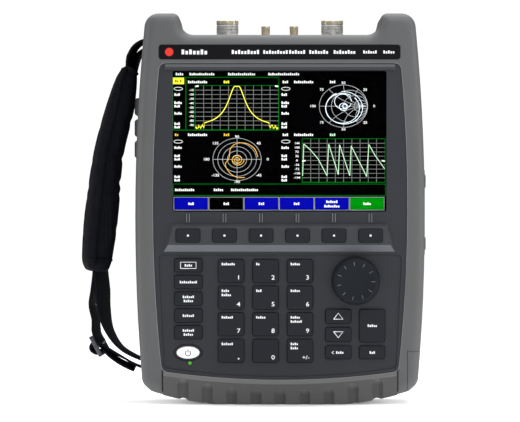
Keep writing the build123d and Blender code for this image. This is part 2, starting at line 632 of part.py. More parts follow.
with BuildPart() as battery_door:
    with BuildSketch(facing(BAT_AXIS_Y - GAP)):
        add(HOUSING)
    extrude(amount=BAT_AXIS_Y - GAP - FRONT_Y)
    fillet(battery_door.faces().sort_by(Axis.Y)[0].edges(), radius=FRONT_ROUND)
    box_between((BAT_X + GAP, FRONT_Y - 1, -1), (2 * BAT_X, BAT_AXIS_Y, BAT_TOP_Z - GAP), Mode.INTERSECT)
    box_between((BAT_X, FRONT_Y + 4, 18), (BAT_X + 4.2, BAT_AXIS_Y - 6, BAT_TOP_Z - 3), Mode.SUBTRACT)
    with BuildSketch(Plane.XY.offset(20)):
        with Locations((BAT_AXIS_X, BAT_AXIS_Y)):
            Circle(KNUCKLE_R)
        with Locations((BAT_AXIS_X - 2, BAT_AXIS_Y - 2)):
            Rectangle(3.4, 3.4)
    extrude(amount=14)
save(battery_door, "battery_door")

# --- connector door and the sockets behind it ---
with BuildPart() as io_door:
    box_between((IO_AXIS_X - 0.6, IO_Y0, IO_Z0), (IO_AXIS_X + IO_SKIN - 0.6, IO_AXIS_Y, IO_Z1))
    fillet(io_door.edges().filter_by(Axis.X).group_by(Axis.Y)[0], radius=3)
    with BuildSketch(Plane.XY.offset(IO_Z0)):
        with Locations((IO_AXIS_X, IO_AXIS_Y)):
            Circle(KNUCKLE_R)
    extrude(amount=IO_Z1 - IO_Z0)
    with BuildSketch(Plane.YZ.offset(IO_AXIS_X + IO_SKIN - 0.7)):
        for z in (IO_Z0 + 8, IO_Z1 - 8):
            with Locations((6, z)):
                RectangleRounded(18, 9, 2)
    extrude(amount=0.8)
save(io_door, "io_door")

with BuildPart() as io_socket_block:
    box_between(SOCKET_LOW, SOCKET_HIGH)
    for z, height in SOCKETS:
        box_between((SOCKET_LOW[0] + 4, SOCKET_LOW[1] + 2.5, z - height / 2),
                    (SOCKET_HIGH[0] + 1, SOCKET_HIGH[1] - 2.5, z + height / 2), Mode.SUBTRACT)
save(io_socket_block, "io_socket_block")

# --- connector bay ---
with BuildPart() as connector_panel:
    box_between((-BAY_HALF_X + SEAT, -BAY_HALF_Y + SEAT, BAY_Z - BAY_PLATE_T),
                (BAY_HALF_X - SEAT, BAY_HALF_Y - SEAT, BAY_Z + PLATE_PROUD))
    with BuildSketch(Plane.XY.offset(BAY_Z + 1)):
        with Locations((-PORT_X, 0), (PORT_X, 0)):
            Circle(PORT_STEM_R + 2 * SEAT)
        with Locations((-JACK_X, 0), (JACK_X, 0)):
            Circle(JACK_STEM_R + 2 * SEAT)
    extrude(amount=-6, mode=Mode.SUBTRACT)
save(connector_panel, "connector_panel")


def test_port(x):
    """A flanged coaxial test port with a threaded barrel and a centre contact."""
    base = BAY_Z + PLATE_PROUD
    with BuildPart() as port:
        with BuildSketch(Plane.XY.offset(base)):
            with Locations((x, 0)):
                RegularPolygon(PORT_FLANGE_R, 6)
        extrude(amount=PORT_FLANGE_T)
        with BuildSketch(Plane.XY.offset(base - PORT_STEM)):
            with Locations((x, 0)):
                Circle(PORT_STEM_R)
        extrude(amount=PORT_STEM)
        with BuildSketch(Plane.XY.offset(base)):
            with Locations((x, 0)):
                Circle(PORT_R)
        extrude(amount=PORT_TOP_Z - base)
        with BuildSketch(Plane.XY.offset(PORT_TOP_Z)):
            with Locations((x, 0)):
                Circle(PORT_BORE_R)
                Circle(PORT_PIN_R, mode=Mode.SUBTRACT)
        extrude(amount=-PORT_BORE_DEPTH, mode=Mode.SUBTRACT)
        with BuildSketch(Plane.XY.offset(PORT_TOP_Z)):
            with Locations((x, 0)):
                Circle(PORT_PIN_R)
        extrude(amount=-PORT_PIN_LOW, mode=Mode.SUBTRACT)
    return port


save(test_port(-PORT_X), "test_port_left")
save(test_port(PORT_X), "test_port_right")

with BuildPart() as small_jacks:
    with BuildSketch(Plane.XY.offset(BAY_Z + PLATE_PROUD)):
        with Locations((-JACK_X, 0), (JACK_X, 0)):
            RegularPolygon(JACK_FLANGE_R, 6)
    extrude(amount=JACK_FLANGE_T)
    with BuildSketch(Plane.XY.offset(BAY_Z + PLATE_PROUD - JACK_STEM)):
        with Locations((-JACK_X, 0), (JACK_X, 0)):
            Circle(JACK_STEM_R)
    extrude(amount=JACK_STEM)
    with BuildSketch(Plane.XY.offset(BAY_Z + PLATE_PROUD)):
        with Locations((-JACK_X, 0), (JACK_X, 0)):
            Circle(JACK_R)
    extrude(amount=JACK_TOP_Z - BAY_Z - PLATE_PROUD)
    with BuildSketch(Plane.XY.offset(JACK_TOP_Z)):
        with Locations((-JACK_X, 0), (JACK_X, 0)):
            Circle(JACK_BORE_R)
    extrude(amount=-JACK_BORE_DEPTH, mode=Mode.SUBTRACT)
save(small_jacks, "small_jacks")

# --- bail: a bent rod whose ends turn inwards as pivots ---
with BuildPart() as bail_stand:
    with BuildLine() as rod_line:
        FilletPolyline(
            (-BAIL_PIN_X, BAIL_Y, BAIL_TOP_Z), (-BAIL_X, BAIL_Y, BAIL_TOP_Z),
            (-BAIL_X, BAIL_Y, BAIL_LOW_Z), (BAIL_X, BAIL_Y, BAIL_LOW_Z),
            (BAIL_X, BAIL_Y, BAIL_TOP_Z), (BAIL_PIN_X, BAIL_Y, BAIL_TOP_Z),
            radius=[3.0, BAIL_BEND, BAIL_BEND, 3.0])
    with BuildSketch(Plane.YZ.offset(-BAIL_PIN_X)):
        with Locations((BAIL_Y, BAIL_TOP_Z)):
            Circle(BAIL_R)
    sweep(path=rod_line.line)
save(bail_stand, "bail_stand")

# --- rubber grip pads, screws, strap bars ---
with BuildPart() as grip_pads:
    for z in GRIP_ROWS:
        box_between((GRIP_X, GRIP_Y0 + SEAT, z - GRIP_H / 2 + SEAT),
                    (GRIP_SEAT_X, GRIP_Y1 - SEAT, z + GRIP_H / 2 - SEAT))
    fillet(grip_pads.faces().group_by(Axis.X)[0].edges(), radius=GRIP_ROUND)
save(grip_pads, "grip_pads")

with BuildPart() as shell_screws:
    with BuildSketch(facing(REAR_Y - 2.2)):
        for x, z in SCREWS:
            with Locations((x, z)):
                Circle(SCREW_HEAD_R)
    extrude(amount=2.8)
    with BuildSketch(facing(REAR_Y - 2.2)):
        for x, z in SCREWS:
            with Locations((x, z)):
                Circle(SCREW_R)
    extrude(amount=38)
    with BuildSketch(facing(REAR_Y - 2.2)):
        for x, z in SCREWS:
            with Locations((x, z)):
                RegularPolygon(1.3, 6)
    extrude(amount=1.4, mode=Mode.SUBTRACT)
save(shell_screws, "shell_screws")

with BuildPart() as strap_bars:
    with BuildSketch(Plane.XZ.offset(-STRAP_Y - BAR_HALF)):
        with Locations((BAR_X, BAR_TOP_Z), (BAR_X, BAR_LOW_Z)):
            Circle(BAR_R - 0.02)
    extrude(amount=2 * BAR_HALF)
save(strap_bars, "strap_bars")

# --- hand strap: padded sleeve, webbing and buckle ---
with BuildPart() as strap_pad:
    with BuildSketch(facing(STRAP_Y)):
        with BuildLine():
            Spline((-108.6, 235.5), (-120.6, 207.7), (-129.6, 174.3), (-133.8, 140.8), (-138.3, 98.0))
            Polyline((-138.3, 98.0), (-134.5, 92.5), (-122.4, 92.5), (-119.6, 98.0))
            Spline((-119.6, 98.0), (-114.6, 140.8), (-110.8, 174.3), (-104.1, 207.7), (-100.4, 235.5))
            Line((-100.4, 235.5), (-108.6, 235.5))
        make_face()
    extrude(amount=PAD_WIDTH / 2, both=True)
    fillet(strap_pad.edges().filter_by(GeomType.BSPLINE), radius=3.5)
save(strap_pad, "strap_pad")

with BuildPart() as strap_webbing:
    with BuildSketch(facing(STRAP_Y)):
        with BuildLine():
            Spline((-102.8, 236.0), (-101.0, 243.0), (-96.5, 248.2), (BAR_X, 249.1),
                   tangents=[(0.1, 1), (1, 0)])
            ThreePointArc((BAR_X, 249.1), (BAR_X + 3.1, BAR_TOP_Z), (BAR_X, 255.3))
            Spline((BAR_X, 255.3), (-97.5, 254.0), (-104.6, 247.5), (-106.4, 236.0),
                   tangents=[(-1, 0), (-0.1, -1)])
        trace(line_width=WEB_T)
    extrude(amount=WEB_WIDTH / 2, both=True)
    with BuildSketch(facing(STRAP_Y)):
        with BuildLine():
            Spline((-125.4, 92.0), (-125.0, 62.0), (-117.0, 40.5), (-103.0, 30.5), (BAR_X, 29.1),
                   tangents=[(0, -1), (1, 0)])
            ThreePointArc((BAR_X, 29.1), (BAR_X + 3.1, BAR_LOW_Z), (BAR_X, 22.9))
            Spline((BAR_X, 22.9), (-103.0, 25.2), (-115.0, 31.6), (-123.0, 37.6),
                   tangents=[(-1, 0), (-0.9, 0.45)])
        trace(line_width=WEB_T)
    extrude(amount=WEB_WIDTH / 2, both=True)
    with BuildSketch(facing(STRAP_Y)):
        with BuildLine():
            Spline((-129.2, 92.0), (-132.4, 72.0), (-129.6, 57.0), (-129.2, 49.0),
                   tangents=[(-0.1, -1), (0.1, -1)])
        trace(line_width=WEB_T)
    extrude(amount=WEB_WIDTH / 2, both=True)
save(strap_webbing, "strap_webbing")

buckle_plane = Plane(origin=(BUCKLE_X, STRAP_Y, BUCKLE_Z),
                     x_dir=(cos(radians(BUCKLE_TILT)), 0, -sin(radians(BUCKLE_TILT))), z_dir=(
                         sin(radians(BUCKLE_TILT)), 0, cos(radians(BUCKLE_TILT))))
with BuildPart() as strap_buckle:
    with BuildSketch(buckle_plane):
        RectangleRounded(BUCKLE_W, BUCKLE_L, 2.5)
        with Locations((-BUCKLE_SLOT_X, 0), (BUCKLE_SLOT_X, 0)):
            RectangleRounded(4.4, BUCKLE_L - 6, 1.0, mode=Mode.SUBTRACT)
    extrude(amount=BUCKLE_T / 2, both=True)
save(strap_buckle, "strap_buckle")
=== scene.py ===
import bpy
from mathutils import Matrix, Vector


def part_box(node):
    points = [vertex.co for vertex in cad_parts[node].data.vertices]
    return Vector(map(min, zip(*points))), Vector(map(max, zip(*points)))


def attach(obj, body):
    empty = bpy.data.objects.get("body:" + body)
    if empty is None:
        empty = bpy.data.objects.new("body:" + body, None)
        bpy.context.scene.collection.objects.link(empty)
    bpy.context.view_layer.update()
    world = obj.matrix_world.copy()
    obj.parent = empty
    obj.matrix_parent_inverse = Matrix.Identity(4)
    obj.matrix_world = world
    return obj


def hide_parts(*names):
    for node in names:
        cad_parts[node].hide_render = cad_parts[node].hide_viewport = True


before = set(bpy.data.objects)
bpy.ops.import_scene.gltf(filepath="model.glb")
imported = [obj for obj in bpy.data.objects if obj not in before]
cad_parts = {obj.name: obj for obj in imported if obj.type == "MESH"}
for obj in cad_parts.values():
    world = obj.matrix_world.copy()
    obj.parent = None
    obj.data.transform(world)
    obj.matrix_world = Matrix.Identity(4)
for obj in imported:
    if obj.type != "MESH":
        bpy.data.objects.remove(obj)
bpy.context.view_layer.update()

"""Looks of the handheld vector network analyzer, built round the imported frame."""
import logging
import math
from dataclasses import dataclass, field
from enum import Enum

import bmesh
import bpy
from mathutils import Matrix, Vector

log = logging.getLogger("analyzer")
MM = 0.001
HOUSING = "housing"
SCREEN_SLOT = "black_metal"
BUMP_DEPTH = 0.2 * MM
GRID_CELLS = 10
ACROSS = Vector((0, 1, 0))                                 # the strap's width lies along +Y
FACE_FRONT = Matrix.Rotation(math.radians(90), 4, "X")     # turns a flat drawing to face -Y
Point = tuple[float, float]


class Weave(Enum):
    """How the threads of a cloth are crossed."""

    PLAIN = 1.0
    RIBBED = 0.35


# ---- materials

@dataclass
class Wiring:
    """Nodes and links of one shader tree; an operand is a socket or a plain number."""

    tree: bpy.types.NodeTree
    given: bpy.types.NodeOutputs | None = None
    result: bpy.types.NodeInputs | None = None

    @classmethod
    def group(cls, name: str, color: tuple[float, float, float], numbers: dict[str, float],
              results: tuple[str, ...] = ("Color", "Roughness", "Height")) -> "Wiring":
        """Start a node group with its sockets.

        Args:
            name: the group's name.
            color: default of its Color input.
            numbers: name and default of each number it takes.
            results: names of its outputs.

        Returns:
            The wiring of the new group, its inputs as given and its outputs as result.
        """
        tree = bpy.data.node_groups.new(name, "ShaderNodeTree")
        socket = tree.interface.new_socket
        socket("Vector", in_out="INPUT", socket_type="NodeSocketVector")
        socket("Color", in_out="INPUT", socket_type="NodeSocketColor").default_value = (*color, 1)
        for label, value in numbers.items():
            socket(label, in_out="INPUT", socket_type="NodeSocketFloat").default_value = value
        for label in results:
            kind = "NodeSocketColor" if label in ("Color", "Glow") else "NodeSocketFloat"
            socket(label, in_out="OUTPUT", socket_type=kind)
        return cls(tree, tree.nodes.new("NodeGroupInput").outputs,
                   tree.nodes.new("NodeGroupOutput").inputs)

    def node(self, kind: str, **settings: object) -> bpy.types.Node:
        """Add a node.

        Args:
            kind: the node's type.
            settings: its properties.

        Returns:
            The new node.
        """
        made = self.tree.nodes.new(kind)
        for name, value in settings.items():
            setattr(made, name, value)
        return made

    def link(self, source: object, sink: bpy.types.NodeSocket) -> None:
        """Lead a socket into another, or set a plain number on it.

        Args:
            source: an output socket, or a number.
            sink: the input socket.
        """
        if isinstance(source, (int, float)):
            sink.default_value = source
        else:
            self.tree.links.new(source, sink)

    def math(self, operation: str, first: object, second: object) -> bpy.types.NodeSocket:
        """Add a Math node.

        Args:
            operation: what it works out.
            first: first operand.
            second: second operand.

        Returns:
            Its output.
        """
        node = self.node("ShaderNodeMath", operation=operation)
        self.link(first, node.inputs[0])
        self.link(second, node.inputs[1])
        return node.outputs[0]

    def add(self, first: object, second: object) -> bpy.types.NodeSocket:
        """Sum of two operands."""
        return self.math("ADD", first, second)

    def times(self, first: object, second: object) -> bpy.types.NodeSocket:
        """Product of two operands."""
        return self.math("MULTIPLY", first, second)

    def swing(self, value: object, amount: object, gain: float, base: object) -> bpy.types.NodeSocket:
        """Let a noise swing round a base.

        Args:
            value: the noise, from 0 to 1.
            amount: how far it swings.
            gain: factor of the amount.
            base: the middle of the swing.

        Returns:
            The socket that carries the result.
        """
        return self.add(self.times(self.times(self.math("SUBTRACT", value, 0.5), amount), gain), base)

    def tint(self, factor: object) -> bpy.types.NodeSocket:
        """Multiply the group's colour by a grey factor.

        Args:
            factor: the factor.

        Returns:
            The tinted colour's socket.
        """
        node = self.node("ShaderNodeVectorMath", operation="SCALE")
        self.link(self.given["Color"], node.inputs[0])
        self.link(factor, node.inputs["Scale"])
        return node.outputs[0]

    def noise(self, scale: object, detail: float, place: object = None) -> bpy.types.NodeSocket:
        """Add a noise texture.

        Args:
            scale: its scale.
            detail: its detail.
            place: where it is read, the group's vector if left out.

        Returns:
            Its value output.
        """
        node = self.node("ShaderNodeTexNoise")
        self.link(place or self.given["Vector"], node.inputs["Vector"])
        self.link(scale, node.inputs["Scale"])
        self.link(detail, node.inputs["Detail"])
        return node.outputs[0]

    def split(self, vector: bpy.types.NodeSocket) -> bpy.types.NodeOutputs:
        """Split a vector.

        Args:
            vector: the vector's socket.

        Returns:
            The outputs that carry its X, Y and Z.
        """
        node = self.node("ShaderNodeSeparateXYZ")
        self.link(vector, node.inputs[0])
        return node.outputs


def grain_group() -> bpy.types.NodeTree:
    """Moulded or painted surface: fine grain, soft blotches, and a painted highlight on faces that
    point up and on faces that point down.

    Returns:
        The node group.
    """
    fine_share, blotch_share, blotch_scale = 0.6, 0.4, 38.0
    w = Wiring.group("surface_grain", (0.1, 0.1, 0.1), {
        "Scale": 900.0, "Tone": 0.1, "Roughness": 0.6, "Vary": 0.1, "Top_Highlight": 0.0, "Under_Highlight": 0.0})
    fine = w.noise(w.given["Scale"], 2.0)
    blotch = w.noise(blotch_scale, 4.0)
    mixed = w.add(w.times(fine, fine_share), w.times(blotch, blotch_share))
    # painted light: the colour is raised on faces that point up and on faces that point down, standing
    # in for light from above and from below
    height = w.split(w.node("ShaderNodeNewGeometry").outputs["Normal"])["Z"]
    upward = w.math("MAXIMUM", height, 0.0)
    downward = w.math("MAXIMUM", w.times(height, -1.0), 0.0)
    painted_light = w.add(w.times(upward, w.given["Top_Highlight"]), w.times(downward, w.given["Under_Highlight"]))
    factor = w.times(w.swing(mixed, w.given["Tone"], 3.0, 1.0), w.add(painted_light, 1.0))
    w.link(w.tint(factor), w.result["Color"])
    w.link(w.swing(blotch, w.given["Vary"], 2.0, w.given["Roughness"]), w.result["Roughness"])
    w.link(fine, w.result["Height"])
    return w.tree


def brushed_group() -> bpy.types.NodeTree:
    """Drawn or turned metal: streaks along one direction.

    Returns:
        The node group.
    """
    w = Wiring.group("brushed_metal", (0.6, 0.6, 0.6), {"Tone": 0.2, "Roughness": 0.3})
    stretch = w.node("ShaderNodeMapping")
    stretch.inputs["Scale"].default_value = (60.0, 60.0, 3000.0)
    w.link(w.given["Vector"], stretch.inputs["Vector"])
    streak = w.noise(1.0, 3.0, stretch.outputs[0])
    w.link(w.tint(w.swing(streak, w.given["Tone"], 2.0, 1.0)), w.result["Color"])
    w.link(w.swing(streak, w.given["Tone"], 0.6, w.given["Roughness"]), w.result["Roughness"])
    w.link(streak, w.result["Height"])
    return w.tree


def weave_group() -> bpy.types.NodeTree:
    """Woven cloth: two crossed sets of threads with a slight unevenness.

    Returns:
        The node group.
    """
    relief, fuzz_scale = 0.3, 260.0
    w = Wiring.group("woven_threads", (0.02, 0.02, 0.02), {"Threads": 900.0, "Cross": 1.0})
    turns = [w.times(part, w.given["Threads"]) for part in w.split(w.given["Vector"])]
    turns[1] = w.times(turns[1], w.given["Cross"])
    waves = [w.math("SINE", turn, 0.0) for turn in turns]
    crossed = w.times(w.add(waves[0], waves[2]), waves[1])
    fuzz = w.noise(fuzz_scale, 3.0)
    height = w.add(w.times(crossed, relief), fuzz)
    w.link(w.tint(w.add(w.times(height, 0.7), 0.6)), w.result["Color"])
    w.link(w.add(w.times(fuzz, 0.2), 0.72), w.result["Roughness"])
    w.link(height, w.result["Height"])
    return w.tree


def floor_group() -> bpy.types.NodeTree:
    """Pale floor that glows more the farther it is from the object.

    Returns:
        The node group.
    """
    w = Wiring.group("floor_fade", (0.9, 0.9, 0.9), {}, ("Color", "Height", "Glow"))
    fine = w.noise(60.0, 2.0)
    length = w.node("ShaderNodeVectorMath", operation="LENGTH")
    w.link(w.given["Vector"], length.inputs[0])
    fade = w.node("ShaderNodeMapRange", interpolation_type="SMOOTHSTEP")
    for label, value in (("From Min", 0.04), ("From Max", 0.1), ("To Min", 0.05), ("To Max", 0.7)):
        w.link(value, fade.inputs[label])
    w.link(length.outputs["Value"], fade.inputs["Value"])
    w.link(w.tint(fade.outputs["Result"]), w.result["Glow"])
    w.link(w.tint(w.add(w.times(fine, 0.02), 0.98)), w.result["Color"])
    w.link(fine, w.result["Height"])
    return w.tree


GROUPS = {"grain": grain_group(), "brushed": brushed_group(), "weave": weave_group(),
          "floor": floor_group()}


@dataclass(frozen=True)
class Finish:
    """One surface finish: colour, gloss, its fine texture and a painted highlight on faces that point
    up or down.
    """

    name: str
    color: tuple[float, float, float]
    roughness: float = 0.6
    metallic: float = 0.0
    scale: float = 900.0
    tone: float = 0.1
    vary: float = 0.08
    bump: float = 0.12
    group: str = "grain"
    glow: float = 0.0
    clear: float = 0.0
    weave: Weave = Weave.PLAIN
    use_uv: bool = False
    # painted highlight: how much lighter faces that point up, and faces that point down, are drawn
    dust: float = 0.0
    polish: float = 0.0
    ior: float = 1.5

    def material(self) -> bpy.types.Material:
        """Build the material, or find it if it is already there.

        Returns:
            The material.
        """
        name = f"{self.name}_look"
        material = bpy.data.materials.get(name)
        if material:
            return material
        material = bpy.data.materials.new(name)
        material.use_nodes = True
        wires = Wiring(material.node_tree)
        shader = wires.tree.nodes["Principled BSDF"].inputs
        group = wires.node("ShaderNodeGroup", node_tree=GROUPS[self.group])
        place = wires.node("ShaderNodeTexCoord").outputs["UV" if self.use_uv else "Object"]
        wires.link(place, group.inputs["Vector"])
        values = {"Color": (*self.color, 1.0), "Scale": self.scale, "Tone": self.tone,
                  "Roughness": self.roughness, "Vary": self.vary, "Threads": self.scale,
                  "Cross": self.weave.value, "Top_Highlight": self.dust, "Under_Highlight": self.polish}
        for label, value in values.items():
            if label in group.inputs:
                group.inputs[label].default_value = value
        for label, value in (("Roughness", self.roughness), ("Metallic", self.metallic),
                             ("IOR", self.ior), ("Transmission Weight", self.clear)):
            shader[label].default_value = value
        wires.link(group.outputs["Color"], shader["Base Color"])
        if "Roughness" in group.outputs:
            wires.link(group.outputs["Roughness"], shader["Roughness"])
        bump = wires.node("ShaderNodeBump")
        wires.link(self.bump, bump.inputs["Strength"])
        wires.link(BUMP_DEPTH, bump.inputs["Distance"])
        wires.link(group.outputs["Height"], bump.inputs["Height"])
        wires.link(bump.outputs["Normal"], shader["Normal"])
        if self.glow:
            lit = "Glow" if "Glow" in group.outputs else "Color"
            wires.link(group.outputs[lit], shader["Emission Color"])
            wires.link(self.glow, shader["Emission Strength"])
        return material


def srgb(red: int, green: int, blue: int) -> tuple[float, float, float]:
    """Linear colour of an 8-bit screen colour."""
    return tuple((c / 255 / 12.92) if c <= 10 else ((c / 255 + 0.055) / 1.055) ** 2.4
                 for c in (red, green, blue))


# Painted light: in these finishes the numbers for upward and downward faces make those faces lighter,
# as if lit from above and below; the bumper's top lip and the ridge's lower bevel get the most.
SHELL = Finish("shell_rubber", srgb(88, 89, 90), 0.5, scale=1500, tone=0.12, bump=0.2, dust=0.4)
BUMPER = Finish("bumper_rubber", srgb(79, 79, 79), 0.6, scale=1300, tone=0.12, bump=0.25, dust=2.2,
                polish=1.2)
PANEL = Finish("panel_plastic", srgb(50, 52, 57), 0.55, scale=2200, tone=0.08, bump=0.15, dust=1.0,
               ior=1.3)
RIDGE = Finish("ridge_plastic", srgb(62, 64, 68), 0.5, scale=2200, tone=0.08, bump=0.12,
               dust=0.1, polish=3.3, ior=1.3)
KEY = Finish("key_rubber", srgb(28, 31, 37), 0.55, scale=1800, tone=0.1, bump=0.12, dust=0.9,
             ior=1.3)
KNOB_SKIN = Finish("knob_rubber", srgb(31, 34, 40), 0.6, scale=1500, tone=0.1, bump=0.1, ior=1.2)
# painted highlight: a lighter grey for the knob's ticks, standing in for light caught on them
KNOB_TICK_HIGHLIGHT = Finish("knob_tick_highlight", srgb(98, 101, 106), 0.4, scale=1500, tone=0.1, bump=0.1)
# painted shade: near-black sheets laid where the knob's gap and the bumper's seams fall in shade
PAINTED_GAP_SHADE = Finish("gap_shadow", srgb(10, 11, 13), 0.8, tone=0.05, bump=0.02)
# painted light: the red mark glows a little, though it is no lamp
MARK_RED = Finish("mark_red", srgb(214, 44, 30), 0.45, tone=0.06, bump=0.03, glow=0.15)
# painted highlight: a light grey for lines that stand for light caught on the panel's rim and rib edges
PAINTED_RIM_HIGHLIGHT = Finish("rim_highlight", srgb(130, 132, 135), 0.45, tone=0.08, bump=0.05)
DARK_GLOSS = Finish("label_film", srgb(19, 19, 23), 0.35, tone=0.06, bump=0.02, ior=1.2)
# painted light: the white button glows a little, though it is no lamp
WHITE = Finish("button_white", srgb(246, 246, 245), 0.35, tone=0.02, bump=0.04, glow=0.2)
# painted light: the white ink glows a little, though it is no lamp
INK = Finish("legend_ink", srgb(232, 234, 236), 0.5, tone=0.03, bump=0.05, glow=0.22)
# painted highlight: a lighter grey for the band that stands for light on the panel's top bevel
PAINTED_BEVEL_HIGHLIGHT = Finish("bevel_highlight", srgb(84, 86, 90), 0.5, scale=2200, tone=0.08, bump=0.12)
GREY_INK = Finish("grey_ink", srgb(58, 60, 64), 0.5, tone=0.05, bump=0.05)
LAMP = Finish("lamp_green", srgb(70, 172, 8), 0.5, tone=0.1, bump=0.02, glow=0.2)
GLASS = Finish("screen_glass", (1.0, 1.0, 1.0), 0.0, tone=0.01, vary=0.01, bump=0.0, clear=1.0,
               ior=1.02)
BLACK_METAL = Finish("screen_frame", srgb(26, 26, 28), 0.5)
BOARD = Finish("circuit_board", srgb(20, 92, 48), 0.45, tone=0.3)
ALUMINIUM = Finish("chassis_aluminium", srgb(190, 190, 194), 0.35, 1.0, group="brushed")
TINNED = Finish("tinned_steel", srgb(180, 180, 178), 0.3, 1.0, group="brushed")
ROD = Finish("plated_steel", srgb(70, 71, 74), 0.38, 0.9, group="brushed")
PORT_STEEL = Finish("port_steel", srgb(214, 213, 210), 0.3, 0.55, group="brushed", bump=0.06)
GOLD = Finish("contact_gilt", srgb(212, 200, 176), 0.3, 0.5, group="brushed", bump=0.05)
INSULATOR = Finish("white_insulator", srgb(228, 226, 220), 0.5)
SOCKETS = Finish("socket_metal", srgb(60, 61, 63), 0.4, 0.6)
CELL = Finish("battery_case", srgb(34, 34, 36), 0.55, bump=0.2)
CLOTH = Finish("sleeve_nylon", srgb(20, 21, 26), group="weave", scale=3600, bump=0.5, ior=1.12)
TRIM = Finish("binding_tape", srgb(15, 16, 20), group="weave", scale=5200, bump=0.5, ior=1.12)
WEBBING = Finish("strap_webbing", srgb(23, 25, 31), group="weave", scale=4200, bump=0.7, ior=1.12,
                 weave=Weave.RIBBED, use_uv=True)
ACETAL = Finish("buckle_acetal", srgb(62, 65, 70), 0.35, bump=0.08)
SCREEN_BLACK = Finish("picture_black", srgb(3, 3, 5), 0.9, bump=0.0, tone=0.2, ior=1.02)
PICTURE = {name: Finish(f"picture_{name}", srgb(*rgb), 0.9, bump=0.0, tone=0.02, glow=0.85, ior=1.02)
           for name, rgb in {"white": (222, 225, 222), "grid": (108, 110, 108), "green": (0, 104, 14),
                             "yellow": (240, 236, 60), "amber": (214, 170, 60),
                             "mint": (170, 206, 172), "blue": (4, 6, 138),
                             "leaf": (0, 116, 8), "edge": (150, 152, 156),
                             "chart": (168, 172, 174), "pale": (214, 228, 236),
                             "black": (6, 6, 6)}.items()}


# ---- mesh tools

def to_object(name: str, bm: bmesh.types.BMesh, finishes: list[Finish],
              smooth: float = 35.0) -> bpy.types.Object:
    """Turn a bmesh into an object at the origin.

    Args:
        name: the piece's name.
        bm: the mesh, which is freed.
        finishes: finishes in the order of the faces' material numbers.
        smooth: faces that meet at less than this angle, in degrees, are shaded smooth.

    Returns:
        The new object, linked to the scene.
    """
    mesh = bpy.data.meshes.new(name)
    bm.to_mesh(mesh)
    bm.free()
    piece = bpy.data.objects.new(name, mesh)
    bpy.context.scene.collection.objects.link(piece)
    for finish in finishes:
        mesh.materials.append(finish.material())
    mesh.shade_smooth()
    mesh.set_sharp_from_angle(angle=math.radians(smooth))
    return piece


def install(piece: bpy.types.Object, body: str, slot: str, *replaced: str) -> bpy.types.Object:
    """Ride a finished piece on its body and log it.

    Args:
        piece: the finished object.
        body: the CAD body that it moves with.
        slot: a material slot's name; not used.
        replaced: CAD nodes that the piece stands for.

    Returns:
        The same piece.
    """
    if replaced:
        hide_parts(*replaced)
    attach(piece, body)
    log.info("%s rides on %s, %d faces", piece.name, body, len(piece.data.polygons))
    return piece


def box_centre(node: str) -> Vector:
    """Centre of a CAD node's box."""
    low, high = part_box(node)
    return (low + high) / 2


def add_box(bm: bmesh.types.BMesh, low: Vector, high: Vector) -> None:
    """Add a box between two corners.

    Args:
        bm: the mesh to add to.
        low: its lowest corner.
        high: its highest corner.
    """
    size = Vector(high) - Vector(low)
    place = Matrix.Translation((Vector(low) + Vector(high)) / 2) @ Matrix.Diagonal((*size, 1))
    bmesh.ops.create_cube(bm, size=1.0, matrix=place)


def soften(bm: bmesh.types.BMesh, edges: list[bmesh.types.BMEdge], offset: float, steps: int) -> None:
    """Round edges off.

    Args:
        bm: the mesh.
        edges: the edges to round.
        offset: how far from the edge the rounding starts.
        steps: how many faces it has.
    """
    bmesh.ops.bevel(bm, geom=edges, offset=offset, segments=steps, profile=0.5, affect="EDGES",
                    material=-1)


def revolve(bm: bmesh.types.BMesh, profile: list[Point], steps: int, material: int = 0) -> list:
    """Spin a radius and height profile about +Z and close it at the axis.

    Args:
        bm: the mesh to add to.
        profile: radius and height of each point, in metres, from one pole to the other.
        steps: how many steps a full turn has.
        material: the material number of the new faces.

    Returns:
        The new faces.
    """
    before = set(bm.faces)
    verts = [bm.verts.new((radius, 0.0, height)) for radius, height in profile]
    edges = [bm.edges.new(pair) for pair in zip(verts, verts[1:])]
    bmesh.ops.spin(bm, geom=verts + edges, cent=(0, 0, 0), axis=(0, 0, 1),
                   angle=math.tau, steps=steps, use_merge=True)
    bmesh.ops.remove_doubles(bm, verts=bm.verts, dist=1e-7)
    faces = [face for face in bm.faces if face not in before]
    bmesh.ops.recalc_face_normals(bm, faces=faces)
    for face in faces:
        face.material_index = material
    return faces


def smooth_path(points: list[Vector], steps: int) -> list[Vector]:
    """Points along a smooth curve through the given points.

    Args:
        points: the points to pass through.
        steps: points between each pair.

    Returns:
        The curve's points, the given ones among them.
    """
    ends = [2 * points[0] - points[1], *points, 2 * points[-1] - points[-2]]
    line = []
    for p0, p1, p2, p3 in zip(ends, ends[1:], ends[2:], ends[3:]):
        for step in range(steps):
            t = step / steps
            line.append(0.5 * (2 * p1 + (p2 - p0) * t + (2 * p0 - 5 * p1 + 4 * p2 - p3) * t ** 2
                               + (3 * p1 - p0 - 3 * p2 + p3) * t ** 3))
    return line + [points[-1]]


def along(values: tuple[float, ...], spot: float) -> float:
    """Read a table of values at a place between two of them.

    Args:
        values: the table.
        spot: the place, counted in values.

    Returns:
        The value there.
    """
    low = min(int(spot), len(values) - 2)
    return values[low] + (values[low + 1] - values[low]) * (spot - low)


def arc_points(x: float, z: float, radius: float, start: float, end: float, count: int) -> list[Point]:
    """Points on an arc.

    Args:
        x: its centre across.
        z: its centre upwards.
        radius: its radius.
        start: first angle in degrees.
        end: last angle in degrees.
        count: how many steps it has.

    Returns:
        The points, one more than the steps.
    """
    angles = [math.radians(start + (end - start) * i / count) for i in range(count + 1)]
    return [(x + radius * math.cos(a), z + radius * math.sin(a)) for a in angles]


